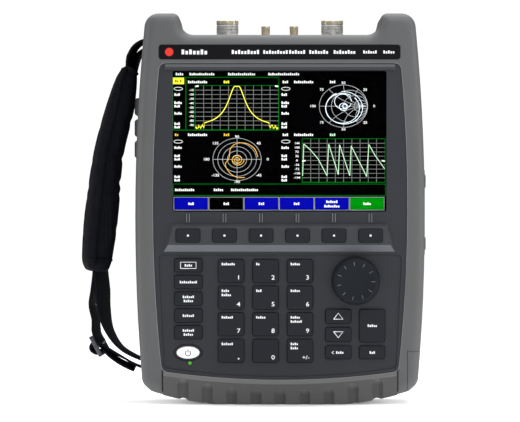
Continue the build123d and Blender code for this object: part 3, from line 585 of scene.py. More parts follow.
def line_curve(runs: list[list[tuple]], radius: float, steps: int, closed: bool) -> bpy.types.Curve:
    """Round lines through points.

    Args:
        runs: the points of each line.
        radius: the lines' radius.
        steps: how fine their round is.
        closed: whether each line returns to its first point.

    Returns:
        The curve, not yet on an object.
    """
    curve = bpy.data.curves.new("lines", "CURVE")
    curve.dimensions = "3D"
    curve.bevel_depth = radius
    curve.bevel_resolution = steps
    curve.use_fill_caps = True
    for run in runs:
        spline = curve.splines.new("POLY")
        spline.points.add(len(run) - 1)
        spline.use_cyclic_u = closed
        for point, place in zip(spline.points, run):
            point.co = (*place, 1.0)
    return curve


def curve_mesh(curve: bpy.types.Curve) -> bpy.types.Mesh:
    """Turn a curve into a mesh.

    Args:
        curve: the curve, which is removed.

    Returns:
        The mesh.
    """
    holder = bpy.data.objects.new("curve", curve)
    bpy.context.scene.collection.objects.link(holder)
    bpy.context.view_layer.update()
    mesh = bpy.data.meshes.new_from_object(holder)
    bpy.data.objects.remove(holder)
    bpy.data.curves.remove(curve)
    return mesh


def keep_modified(piece: bpy.types.Object) -> None:
    """Keep the result of a piece's modifiers as its mesh.

    Args:
        piece: the piece, left without modifiers.
    """
    graph = bpy.context.evaluated_depsgraph_get()
    made = bpy.data.meshes.new_from_object(piece.evaluated_get(graph))
    piece.modifiers.clear()
    old, piece.data = piece.data, made
    bpy.data.meshes.remove(old)


@dataclass
class Drawing:
    """Flat marks that face the front, each a thin closed solid."""

    back_y: float
    thickness: float = 0.03 * MM
    bm: bmesh.types.BMesh = field(default_factory=bmesh.new)

    def bar(self, x: float, z: float, width: float, height: float) -> None:
        """A filled rectangle with its centre at x, z."""
        add_box(self.bm, (x - width / 2, self.back_y - self.thickness, z - height / 2),
                (x + width / 2, self.back_y, z + height / 2))

    def word(self, x: float, z: float, letters: int, height: float, align: float = 0.5) -> None:
        """A row of small blocks that stands in for a word.

        Args:
            x: where the row is fixed.
            z: middle height of the row.
            letters: how many blocks.
            height: height of a tall block.
            align: share of the row that lies left of x.
        """
        step, low_share, block_share = height * 0.78, 0.72, 0.68
        left = x - align * letters * step
        for index in range(letters):
            tall = height if index == 0 or index % 3 == 2 else height * low_share
            self.bar(left + (index + 0.5) * step, z - (height - tall) / 2, step * block_share, tall)

    def lines(self, runs: list[list[Point]], width: float, closed: bool = False) -> None:
        """Lines of one width.

        Args:
            runs: the x, z points of each line.
            width: the lines' width.
            closed: whether each line returns to its first point.
        """
        curve = line_curve([[(x, 0.0, z) for x, z in run] for run in runs], width / 2, 0, closed)
        self._add(curve, Matrix.Diagonal((1, self.thickness / width, 1, 1)))

    def text(self, body: str, x: float, z: float, size: float) -> None:
        """Digits or a sign, a little bold and wide.

        Args:
            body: what to write.
            x: its centre across.
            z: its centre upwards.
            size: its size.
        """
        bold, wide = 0.008, 1.18
        curve = bpy.data.curves.new("digits", "FONT")
        curve.body = body
        curve.size = size
        curve.align_x = curve.align_y = "CENTER"
        curve.extrude = self.thickness / 2
        curve.offset = bold * size
        curve.resolution_u = 3
        self._add(curve, Matrix.Translation((x, 0, z)) @ FACE_FRONT @ Matrix.Diagonal((wide, 1, 1, 1)))

    def _add(self, curve: bpy.types.Curve, place: Matrix) -> None:
        """Add a curve's mesh to the drawing.

        Args:
            curve: the curve, which is removed.
            place: its place in the drawing's middle plane.
        """
        mesh = curve_mesh(curve)
        mesh.transform(Matrix.Translation((0, self.back_y - self.thickness / 2, 0)) @ place)
        self.bm.from_mesh(mesh)
        bpy.data.meshes.remove(mesh)

    def finish(self, name: str, finish: Finish, body: str, slot: str) -> None:
        """Make the drawing one piece.

        Args:
            name: the piece's name.
            finish: its finish.
            body: the CAD body it moves with.
            slot: a material slot's name.
        """
        for face in self.bm.faces:
            face.material_index = 0
        bmesh.ops.recalc_face_normals(self.bm, faces=self.bm.faces)
        install(to_object(name, self.bm, [finish], 20.0), body, slot)


# ---- the screen

@dataclass
class Screen:
    """The picture on the screen: four plots, a status line and six soft labels."""

    rim: float = 2.0 * MM
    layer: float = 0.014 * MM
    line: float = 0.34 * MM
    trace_line: float = 0.5 * MM
    grid_line: float = 0.32 * MM
    frame_line: float = 0.42 * MM
    chart_line: float = 0.24 * MM
    letter: float = 1.75 * MM
    widen: float = 1.14
    label_left: float = -74.0
    label_pitch: float = 24.55
    label_z: float = -43.5
    smith: Point = (44.6, 24.5)
    polar: Point = (-29.6, -12.6)
    chart_r: float = 14.8

    def __post_init__(self) -> None:
        """Take the screen's place and size from its window."""
        low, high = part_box("display_window")
        self.centre = (low + high) / 2
        self.half = (high - low) / 2 - Vector((self.rim, 0, self.rim))
        self.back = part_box("display_module")[0].y

    def at(self, x: float, z: float) -> Point:
        """Place in the shared frame of a point in millimetres from the screen's centre."""
        return self.centre.x + x * MM, self.centre.z + z * MM

    def sheet(self, level: int) -> Drawing:
        """An empty drawing on one layer of the picture."""
        return Drawing(self.back - level * self.layer, self.layer)

    def run(self, points: list[Point]) -> list[Point]:
        """Move a run of points from millimetres to the shared frame."""
        return [self.at(x, z) for x, z in points]

    def frame_run(self, left: float, bottom: float, right: float, top: float) -> list[Point]:
        """Corners of a rectangle in millimetres, back to its first corner."""
        return self.run([(left, bottom), (right, bottom), (right, top), (left, top), (left, bottom)])

    def chart_run(self, centre: Point, points: list[Point]) -> list[Point]:
        """Place points of a round chart, given in shares of its radius."""
        return self.run([(centre[0] + self.widen * self.chart_r * x, centre[1] + self.chart_r * z)
                         for x, z in points])

    def show(self, drawing: Drawing, name: str, ink: str) -> None:
        """Finish a layer as one piece in one of the picture's inks."""
        drawing.finish(f"picture_{name}", PICTURE[ink], HOUSING, SCREEN_SLOT)

    def build(self) -> None:
        """Draw every layer of the picture."""
        base = self.sheet(0)
        base.bar(self.centre.x, self.centre.z, 2 * self.half.x + MM, 2 * self.half.z + MM)
        base.finish("picture_ground", SCREEN_BLACK, HOUSING, SCREEN_SLOT)
        self._plates()
        self._grids()
        self._charts()
        self._traces()
        self._words()

    def _plates(self) -> None:
        """Filled soft labels and the active trace's tag."""
        edges, blue, green = self.sheet(1), self.sheet(1), self.sheet(1)
        half, gap, low, high = self.label_pitch / 2, 0.3, -48.0, -39.0
        for index in range(6):
            x = self.label_left + self.label_pitch * (index + 0.5)
            plate = (*self.at(x, self.label_z), (self.label_pitch - 1.3) * MM, 8.4 * MM)
            edges.lines([self.frame_run(x - half + gap, low, x + half - gap, high)], self.line)
            if index == 5:
                green.bar(*plate)
            elif index != 1:
                blue.bar(*plate)
        tag = self.sheet(1)
        tag.bar(*self.at(-70.5, 42.1), 7.8 * MM, 4.4 * MM)
        self.show(edges, "label_edges", "edge")
        self.show(blue, "labels_blue", "blue")
        self.show(green, "label_green", "leaf")
        self.show(tag, "tag", "yellow")

    def _grids(self) -> None:
        """Rectangular grids and the green frames round the plots."""
        grid, green = self.sheet(2), self.sheet(2)
        runs = []
        for left, right, bottom, top in ((-58.7, -0.8, 8.2, 38.7), (16.0, 73.4, -28.4, 1.6)):
            for i in range(1, GRID_CELLS):
                x = left + (right - left) * i / GRID_CELLS
                z = bottom + (top - bottom) * i / GRID_CELLS
                runs += [self.run([(x, bottom), (x, top)]), self.run([(left, z), (right, z)])]
        grid.lines(runs, self.grid_line)
        frames = [self.frame_run(-74.4, 7.8, -0.5, 44.6), self.frame_run(-58.9, 8.0, -0.7, 38.9),
                  self.frame_run(15.8, -28.6, 73.6, 1.8), self.frame_run(-74.2, -37.9, 73.9, -29.8),
                  self.run([(-65.3, 7.8), (-65.3, 44.6)])]
        green.lines(frames, self.frame_line)
        self.show(grid, "grids", "grid")
        self.show(green, "frames", "green")

    def _charts(self) -> None:
        """The two round charts: reactance circles and polar rings."""
        rings = self.sheet(2)
        runs = []
        for share in (1.0, 0.75, 0.5, 0.28, 0.12):
            runs.append(arc_points(1 - share, 0, share, 0, 360, 48))
        for bend, reach in ((1.0, 90.0), (0.5, 127.0), (2.0, 53.0)):
            runs.append(arc_points(1, bend, bend, 270, 270 - reach, 24))
            runs.append(arc_points(1, -bend, bend, 90, 90 + reach, 24))
        across, upward = [(-1, 0), (1, 0)], [(0, -1), (0, 1)]
        placed = [self.chart_run(self.smith, run) for run in (*runs, across)]
        runs = [arc_points(0, 0, share, 0, 360, 48) for share in (1.0, 0.8, 0.6, 0.4, 0.2)]
        placed += [self.chart_run(self.polar, run) for run in (*runs, across, upward)]
        rings.lines(placed, self.chart_line)
        self.show(rings, "charts", "chart")
        marks = self.sheet(3)
        wide = self.chart_r + 6.6
        for angle in range(0, 360, 45):
            c, s = math.cos(math.radians(angle)), math.sin(math.radians(angle))
            shown = angle if angle <= 180 else angle - 360
            marks.text(str(shown), *self.at(self.polar[0] + wide * c,
                                            self.polar[1] + (self.chart_r + 1.0) * s), 2.5 * MM)
            marks.text(str(abs(shown) // 9 * 5), *self.at(self.smith[0] + wide * c,
                                                         self.smith[1] + (self.chart_r + 1.4) * s),
                       2.4 * MM)
        for row in range(1, GRID_CELLS):
            marks.text(str(-10 * row), *self.at(-61.4, 38.7 - 3.05 * row), 2.1 * MM)
            marks.text(str(180 - 36 * row), *self.at(12.2, 1.6 - 3.0 * row), 2.1 * MM)
        self.show(marks, "digits", "white")

    def _traces(self) -> None:
        """The four measured curves."""
        yellow, pale, amber, mint = (self.sheet(4) for _ in range(4))
        yellow.lines([self.run(self._passband())], self.trace_line)
        sweep = [(0.32, -0.86), (0.0, -0.84), (-0.28, -0.66), (-0.47, -0.33), (-0.46, -0.15),
                 (-0.36, 0.0), (-0.31, 0.2), (-0.28, 0.49), (-0.12, 0.69), (0.14, 0.78), (0.46, 0.72),
                 (0.73, 0.49), (0.86, 0.12)]
        curve = [(point.x, point.z) for point in smooth_path([Vector((x, 0, z)) for x, z in sweep], 6)]
        inner = []
        for i in range(81):
            angle, reach = math.radians(-900 * i / 80), 0.27 - 0.24 * i / 80
            inner.append((0.02 + reach * math.cos(angle), -0.02 + reach * math.sin(angle)))
        amber.lines([self.chart_run(self.polar, run) for run in (curve, inner)],
                    self.trace_line * 0.8)
        loops = ((0.03, -0.08, 0.76, 115.0), (-0.04, -0.1, 0.7, 60.0), (-0.02, 0.22, 0.35, 0.0),
                 (0.0, -0.03, 0.17, 0.0), (0.05, 0.0, 0.09, 0.0))
        pale.lines([self.chart_run(self.smith, arc_points(x, z, reach, start, start + 345.0, 48))
                    for x, z, reach, start in loops], self.trace_line * 0.8)
        saw = [(16.1, -24.0), (16.9, -1.9), (21.6, -6.0), (27.0, -12.4), (33.1, -24.0), (34.3, -1.9),
               (41.0, -23.2), (41.9, -2.4), (49.0, -24.0), (50.0, -3.2), (60.8, -24.6), (62.3, -2.2),
               (66.5, -9.6), (73.3, -19.2)]
        mint.lines([self.run(list(pair)) for pair in zip(saw, saw[1:])], self.trace_line)
        pointers = self.sheet(5)
        for x, z, lean in ((-58.6, 38.6, 1), (-0.9, 38.6, -1), (15.9, -13.5, 1), (73.5, -13.5, -1)):
            pointers.lines([self.run([(x, z - 0.35), (x + lean * 2.2, z)])], 0.9 * MM)
        for x in (-70.6, 4.4):
            for z in (36.6, -0.2):
                oval = [(x + 3.0 * math.cos(math.tau * i / 20), z + 1.1 * math.sin(math.tau * i / 20))
                        for i in range(21)]
                pointers.lines([self.run(oval)], 0.3 * MM)
        for drawing, name, ink in ((pointers, "pointers", "white"), (yellow, "trace_1", "yellow"),
                                   (pale, "trace_2", "pale"), (amber, "trace_3", "amber"),
                                   (mint, "trace_4", "mint")):
            self.show(drawing, name, ink)

    @staticmethod
    def _passband() -> list[Point]:
        """Points of the first trace.

        Returns:
            A flat-topped hump with soft shoulders, and a rough floor at both ends.
        """
        left, right, top, floor, count = -58.5, -1.0, 38.3, 8.9, 180
        curve = []
        for i in range(count + 1):
            t = i / count
            away = abs(t - 0.5) / 0.5
            fall = 1 / (1 + (max(away - 0.05, 0.0) / 0.22) ** 1.7)
            level = floor + 0.8 + (top - floor - 0.8) * fall + 0.25 * math.sin(29 * i) * away
            if away > 0.78:
                level = floor + 1.2 + 1.9 * math.sin(37 * i) * math.sin(11 * i) - 8 * (away - 0.88)
            curve.append((left + (right - left) * t, min(max(level, floor - 0.4), top)))
        return curve

    def _words(self) -> None:
        """Blocks that stand in for the words of the menus."""
        words = self.sheet(3)
        small = self.letter
        rows = [(-72.5, 46.9, 4), (-63, 46.9, 13), (-36, 46.9, 14), (-8, 46.9, 16), (-64, 41.4, 10),
                (10, 41.4, 10), (-64, 4.6, 10), (10, 4.6, 10), (2, 41.4, 3), (2, 4.6, 3),
                (-73, -33.8, 10), (-46, -33.8, 5), (-34, -33.8, 14)]
        rows += [(x, z, n) for x in (-73.5, 1.2) for z, n in
                 ((32.6, 3), (26.9, 4), (24.5, 3), (19.5, 4), (12.3, 3), (9.9, 3))]
        rows += [(x, z - 37.0, n) for x in (-73.5, 1.2) for z, n in
                 ((32.6, 4), (26.9, 3), (24.5, 3), (19.5, 4), (12.3, 3), (9.9, 3))]
        for x, z, letters in rows:
            words.word(*self.at(x, z), letters, small, align=0.0)
        for index, letters in enumerate((3, 3, 3, 3, 6, 4)):
            x = self.label_left + self.label_pitch * (index + 0.5)
            words.word(*self.at(x, self.label_z + (1.4 if index == 4 else 0)), letters, small)
            if index == 4:
                words.word(*self.at(x, self.label_z - 1.7), 8, small)
        self.show(words, "words", "white")
        for name, ink, spots in (("one", "yellow", ((-37.0, 41.4, 3),)),
                                 ("two", "white", ((37.0, 41.4, 3),)),
                                 ("three", "amber", ((-37.0, 4.6, 3), (-71.8, 4.6, 2))),
                                 ("four", "mint", ((37.0, 4.6, 3),)),
                                 ("active", "black", ((-71.6, 42.1, 2), (-68.8, 42.1, 1)))):
            tags = self.sheet(3)
            for x, z, letters in spots:
                tags.word(*self.at(x, z), letters, small)
            self.show(tags, f"tag_{name}", ink)


# ---- the keys

@dataclass
class KeyFace:
    """The face of one key, its marks placed in millimetres from its centre."""

    node: str
    letter: float = 1.75 * MM

    def __post_init__(self) -> None:
        """Lay an empty drawing on the key."""
        self.centre = box_centre(self.node)
        self.marks = Drawing(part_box(self.node)[0].y, 0.05 * MM)

    def at(self, x: float, z: float) -> Point:
        """Place of a point in the shared frame."""
        return self.centre.x + x * MM, self.centre.z + z * MM

    def word(self, x: float, z: float, letters: int, align: float = 0.5) -> None:
        """A row of blocks fixed at x, z."""
        self.marks.word(*self.at(x, z), letters, self.letter, align)

    def line(self, points: list[Point], width: float) -> None:
        """A line through points."""
        self.marks.lines([[self.at(x, z) for x, z in points]], width * MM)

    def finish(self) -> None:
        """Make the marks the key's legend."""
        self.marks.finish(f"{self.node}_legend", INK, self.node, "key_rubber")


@dataclass
class KeyLegends:
    """White legends on the keys: digits, arrows and blocks in place of words."""

    digit: float = 4.3 * MM
    digits: tuple[str, ...] = ("1", "2", "3", "4", "5", "6", "7", "8", "9", ".", "0", "+/-")
    words: tuple[tuple[int, ...], ...] = ((7,), (2,), (5,), (4, 5), (3,), (5,), (6,), (5,), (5, 6),
                                          (6,), (), (4, 4))
    functions: tuple[tuple[int, ...], ...] = ((4,), (9,), (6, 5), (6,), (6, 5))

    def build(self) -> None:
        """Draw every legend."""
        for index, (body, rows) in enumerate(zip(self.digits, self.words)):
            self._digit(KeyFace(f"digit_key_{index + 1:02d}"), body, rows)
        for index, rows in enumerate(self.functions):
            key = KeyFace(f"function_key_{index + 1}")
            for row, letters in enumerate(rows):
                key.word(0, 0 if len(rows) == 1 else 1.4 - 2.8 * row, letters)
            if index == 0:
                key.line([(-5.4, -2.2), (5.4, -2.2), (5.4, 2.2), (-5.4, 2.2), (-5.4, -2.2)], 0.45)
            key.finish()
        for node, letters in (("enter_key", 5), ("escape_key", 3)):
            key = KeyFace(node)
            key.word(0, 0, letters)
            key.finish()
        key = KeyFace("back_key")
        key.word(1.0, 0, 4)
        key.line([(-3.2, 0.9), (-4.6, 0), (-3.2, -0.9)], 0.5)
        key.finish()
        for node, up in (("up_key", 1), ("down_key", -1)):
            key = KeyFace(node)
            key.line([(x, up * z) for x, z in ((-3.3, -2.0), (3.3, -2.0), (0.0, 2.2), (-3.3, -2.0))],
                     0.55)
            key.finish()
        for index in range(6):
            key = KeyFace(f"soft_key_{index + 1}")
            key.marks.bar(*key.at(0, 0), 1.3 * MM, 1.3 * MM)
            key.finish()
        self._power()

    def _digit(self, key: KeyFace, body: str, rows: tuple[int, ...]) -> None:
        """Draw a number key's digit and its rows of blocks.

        Args:
            key: the key's face.
            body: its digit or sign.
            rows: blocks in each row.
        """
        if body == ".":
            key.marks.bar(*key.at(5.2, -5.4), MM, MM)
        else:
            size = self.digit if len(body) == 1 else self.digit * 0.86
            key.marks.text(body, *key.at(5.2 - 0.6 * (len(body) - 1), -4.6), size)
        for row, letters in enumerate(rows):
            key.word(-6.8, 4.9 - 2.9 * row, letters, 0.0)
        key.finish()

    def _power(self) -> None:
        """The power sign on the white button and the dished ring round it."""
        key = KeyFace("power_button")
        key.line(arc_points(0, -0.3, 1.9, 125, 415, 24), 0.6)
        key.line([(0, 0), (0, 2.3)], 0.6)
        key.marks.finish("power_button_sign", GREY_INK, "power_button", "white_plastic")
        bm = bmesh.new()
        revolve(bm, [(9.1 * MM, 0.0), (9.3 * MM, 0.35 * MM), (9.9 * MM, 0.5 * MM), (10.4 * MM, 0.0),
                     (9.1 * MM, 0.0)], 64)
        squeeze = Matrix.Diagonal((1.0, 0.585, 1.0, 1.0))
        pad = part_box("keypad_panel")[0].y
        bm.transform(Matrix.Translation((key.centre.x, pad, key.centre.z)) @ FACE_FRONT @ squeeze)
        bmesh.ops.recalc_face_normals(bm, faces=bm.faces)
        install(to_object("power_button_ring", bm, [KEY]), HOUSING, "panel_plastic")


@dataclass
class TuningKnob:
    """The round knob: fluted side, rounded rim and a shallow dish with raised ticks, with a painted
    highlight on the ticks and painted shade in a dark ring round the knob.
    """

    ticks: int = 11
    flutes: int = 60
    shaft: float = 4.0 * MM
    cad_r: float = 16.0 * MM
    dish: tuple[Point, ...] = ((0.0, 1.3), (6.0, 1.25), (10.5, 0.9), (12.6, 0.35), (13.8, 0.02),
                               (14.8, 0.35), (15.5, 1.3))

    def build(self) -> None:
        """Make the knob in the place of its CAD solid."""
        low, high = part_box("knob")
        centre, radius, height = (low + high) / 2, (high.x - low.x) / 2, high.y - low.y
        r = radius / self.cad_r
        profile = [(reach * MM * r, height - drop * MM) for reach, drop in self.dish]
        profile += [(radius, height - 2.6 * MM), (radius, 1.0 * MM), (radius - 0.6 * MM, 0.0),
                    (self.shaft, 0.0), (self.shaft, 2.0 * MM), (0.0, 2.0 * MM)]
        bm = bmesh.new()
        faces = revolve(bm, profile, self.flutes)
        side = [face for face in faces if abs(face.normal.z) < 0.1 and
                math.hypot(face.calc_center_median().x, face.calc_center_median().y) > radius * 0.98]
        bmesh.ops.inset_individual(bm, faces=side, thickness=0.25 * MM, depth=-0.35 * MM)
        shape = (Matrix.Translation((12.0 * MM * r, 0, height - 0.62 * MM))
                 @ Matrix.Rotation(math.radians(-14), 4, "Y") @ Matrix.Diagonal((1.7, 0.34, 0.6, 1)))
        # painted highlight: the ticks take the lighter tick finish
        for index in range(self.ticks):
            turn = Matrix.Rotation(math.radians(96 + 360 / self.ticks * index), 4, "Z")
            verts = bmesh.ops.create_uvsphere(bm, u_segments=14, v_segments=8, radius=1.0 * MM,
                                              matrix=turn @ shape)["verts"]
            for face in {face for vert in verts for face in vert.link_faces}:
                face.material_index = 1
        bm.transform(Matrix.Translation((centre.x, high.y, centre.z)) @ FACE_FRONT)
        install(to_object("tuning_knob", bm, [KNOB_SKIN, KNOB_TICK_HIGHLIGHT], 40.0), "knob", "knob_plastic",
                "knob")
        # painted shade: a near-black ring on the panel round the knob stands for the shade in its gap
        gap_shade_ring = bmesh.new()
        revolve(gap_shade_ring, [(4.6 * MM, 0.0), (radius + 1.1 * MM, 0.0), (radius + 1.0 * MM, 0.12 * MM),
                       (4.6 * MM, 0.12 * MM), (4.6 * MM, 0.0)], self.flutes)
        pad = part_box("keypad_panel")[0].y
        gap_shade_ring.transform(Matrix.Translation((centre.x, pad, centre.z)) @ FACE_FRONT)
        install(to_object("knob_gap_shade", gap_shade_ring, [PAINTED_GAP_SHADE]), HOUSING, "panel_plastic")


# ---- the ports

@dataclass
class CoaxialPort:
    """A threaded coaxial port standing on the bay's plate."""

    barrel_r: float
    bore_r: float
    pitch: float
    flange_r: float
    flange_t: float
    wedges: int
    slot: float = 0.8 * MM
    ring_share: float = 0.24
    insulator: tuple[Point, ...] = ((0, 0.4), (0.8, 0.4), (0.8, 0.62), (0.3, 0.66), (0, 0.66))
    pin: tuple[Point, ...] = ((0, 0.6), (0.27, 0.6), (0.27, 0.9), (0.12, 0.94), (0, 0.94))

    def mesh(self, x: float, base: float, top: float) -> bmesh.types.BMesh:
        """Make one port.

        Args:
            x: place of its axis.
            base: foot of its barrel.
            top: top of its collar.

        Returns:
            The mesh: steel 0, gilt 1, insulator 2.
        """
        bm = bmesh.new()
        height = top - base
        neck = height * (1 - self.ring_share)
        crest, root, body = self.barrel_r, self.barrel_r - 0.45 * self.pitch, self.barrel_r * 0.9
        level = self.flange_t + self.pitch
        outer = []
        while level < neck - self.pitch:
            outer += [(root, level), (crest, level + self.pitch / 2)]
            level += self.pitch
        mouth, floor = neck - 0.1 * MM, height * 0.38
        revolve(bm, [(0, 0), (body, 0), (body, self.flange_t), *outer, (root, level), (root, mouth),
                     (self.bore_r, mouth), (self.bore_r, floor), (0, floor)], 40)
        self._collar(bm, neck, height)
        for shape, steps, material in ((self.insulator, 24, 2), (self.pin, 16, 1)):
            revolve(bm, [(r * self.bore_r, z * height) for r, z in shape], steps, material)
        nut = bmesh.ops.create_cone(bm, cap_ends=True, segments=6, radius1=self.flange_r,
                                    radius2=self.flange_r, depth=self.flange_t,
                                    matrix=Matrix.Translation((0, 0, self.flange_t / 2)))["verts"]
        soften(bm, list({edge for vert in nut for edge in vert.link_edges}), 0.3 * MM, 2)
        bm.transform(Matrix.Translation((x, 0, base)))
        return bm

    def _collar(self, bm: bmesh.types.BMesh, neck: float, height: float) -> None:
        """Add the slotted collar: equal wedges with saw cuts between them, on a low ring.

        Args:
            bm: the mesh to add to.
            neck: where the collar starts.
            height: where it ends.
        """
        outer, inner, foot = self.barrel_r * 0.985, self.bore_r, neck + 0.5 * MM
        revolve(bm, [(inner, neck), (outer, neck), (outer, foot), (inner, foot), (inner, neck)], 40, 1)
        lap = neck + 0.45 * MM
        section = [(inner, lap), (outer, lap), (outer, height - 0.45 * MM),
                   (outer * 0.94, height), (inner * 1.06, height), (inner, height - 0.3 * MM)]
        gap = self.slot / outer
        for index in range(self.wedges):
            before = set(bm.faces)
            start = Matrix.Rotation(math.tau * index / self.wedges + gap / 2, 3, "Z")
            verts = [bm.verts.new(start @ Vector((radius, 0.0, z))) for radius, z in section]
            bmesh.ops.spin(bm, geom=[bm.faces.new(verts)], cent=(0, 0, 0), axis=(0, 0, 1),
                           angle=math.tau / self.wedges - gap, steps=6)
            made = [item for item in bm.faces if item not in before]
            bmesh.ops.recalc_face_normals(bm, faces=made)
            for item in made:
                item.material_index = 1


@dataclass
class ConnectorBay:
    """The two test ports and the two small jacks between the horns."""

    large: CoaxialPort = field(default_factory=lambda: CoaxialPort(
        7.94 * MM, 5.2 * MM, 1.06 * MM, 9.5 * MM, 1.4 * MM, 8))
    small: CoaxialPort = field(default_factory=lambda: CoaxialPort(
        3.175 * MM, 2.1 * MM, 0.7 * MM, 4.7 * MM, 1.2 * MM, 6, 0.4 * MM))
    washer_r: float = 4.8 * MM

    def build(self) -> None:
        """Make the four connectors in the place of their CAD solids."""
        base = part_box("connector_panel")[1].z
        for node in ("test_port_left", "test_port_right"):
            mesh = self.large.mesh(box_centre(node).x, base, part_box(node)[1].z)
            install(to_object(f"{node}_body", mesh, [PORT_STEEL, GOLD, INSULATOR]), HOUSING,
                    "port_steel", node)
        low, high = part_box("small_jacks")
        spread = (high.x - low.x) / 2 - self.washer_r
        bm = bmesh.new()
        for side in (-1, 1):
            one = self.small.mesh(side * spread, base, high.z)
            holder = bpy.data.meshes.new("jack")
            one.to_mesh(holder)
            one.free()
            bm.from_mesh(holder)
            bpy.data.meshes.remove(holder)
        install(to_object("small_jack_pair", bm, [GOLD, GOLD, INSULATOR]), HOUSING, "gold_brass",
                "small_jacks")


# ---- the strap

@dataclass
class Ribbon:
    """A flat woven band that follows a path and may twist about it."""

    name: str
    path: list[Vector]
    width: float = 25.0 * MM
    thickness: float = 1.5 * MM
    twist: tuple[float, ...] = (0.0, 0.0)
    across: int = 6
    steps: int = 8

    def make(self, finish: Finish) -> bpy.types.Object:
        """Bend a flat grid along the path, with the weave's coordinates along the band.

        Args:
            finish: the band's finish.

        Returns:
            The finished band.
        """
        line = smooth_path(self.path, self.steps)
        last = len(line) - 1
        bm = bmesh.new()
        bmesh.ops.create_grid(bm, x_segments=last, y_segments=self.across, size=0.5)
        layer = bm.loops.layers.uv.new("UVMap")
        lengths = [0.0]
        for a, b in zip(line, line[1:]):
            lengths.append(lengths[-1] + (b - a).length)
        for face in bm.faces:
            for loop in face.loops:
                spot = round((loop.vert.co.x + 0.5) * last)
                loop[layer].uv = (lengths[spot], loop.vert.co.y * self.width)
        for vert in bm.verts:
            spot = round((vert.co.x + 0.5) * last)
            ahead = (line[min(spot + 1, last)] - line[max(spot - 1, 0)]).normalized()
            turn = math.radians(along(self.twist, spot / last * (len(self.twist) - 1)))
            side = ACROSS * math.cos(turn) + ahead.cross(ACROSS) * math.sin(turn)
            vert.co = line[spot] + side * (vert.co.y * self.width)
        piece = to_object(self.name, bm, [finish], 60.0)
        wall = piece.modifiers.new("thickness", "SOLIDIFY")
        wall.thickness = self.thickness
        wall.offset = 0.0
        edge = piece.modifiers.new("edges", "BEVEL")
        edge.width = 0.35 * MM
        edge.segments = 2
        keep_modified(piece)
        return piece


def strap_points(pairs: tuple[Point, ...], y: float) -> list[Vector]:
    """Points in the strap's middle plane from x, z pairs in millimetres."""
    return [Vector((x * MM, y, z * MM)) for x, z in pairs]


def rounded_square(angle: float) -> Point:
    """Point at an angle of a circle drawn out towards a square, its size from -1 to 1."""
    return tuple(math.copysign(abs(share) ** 0.6, share)
                 for share in (math.cos(angle), math.sin(angle)))


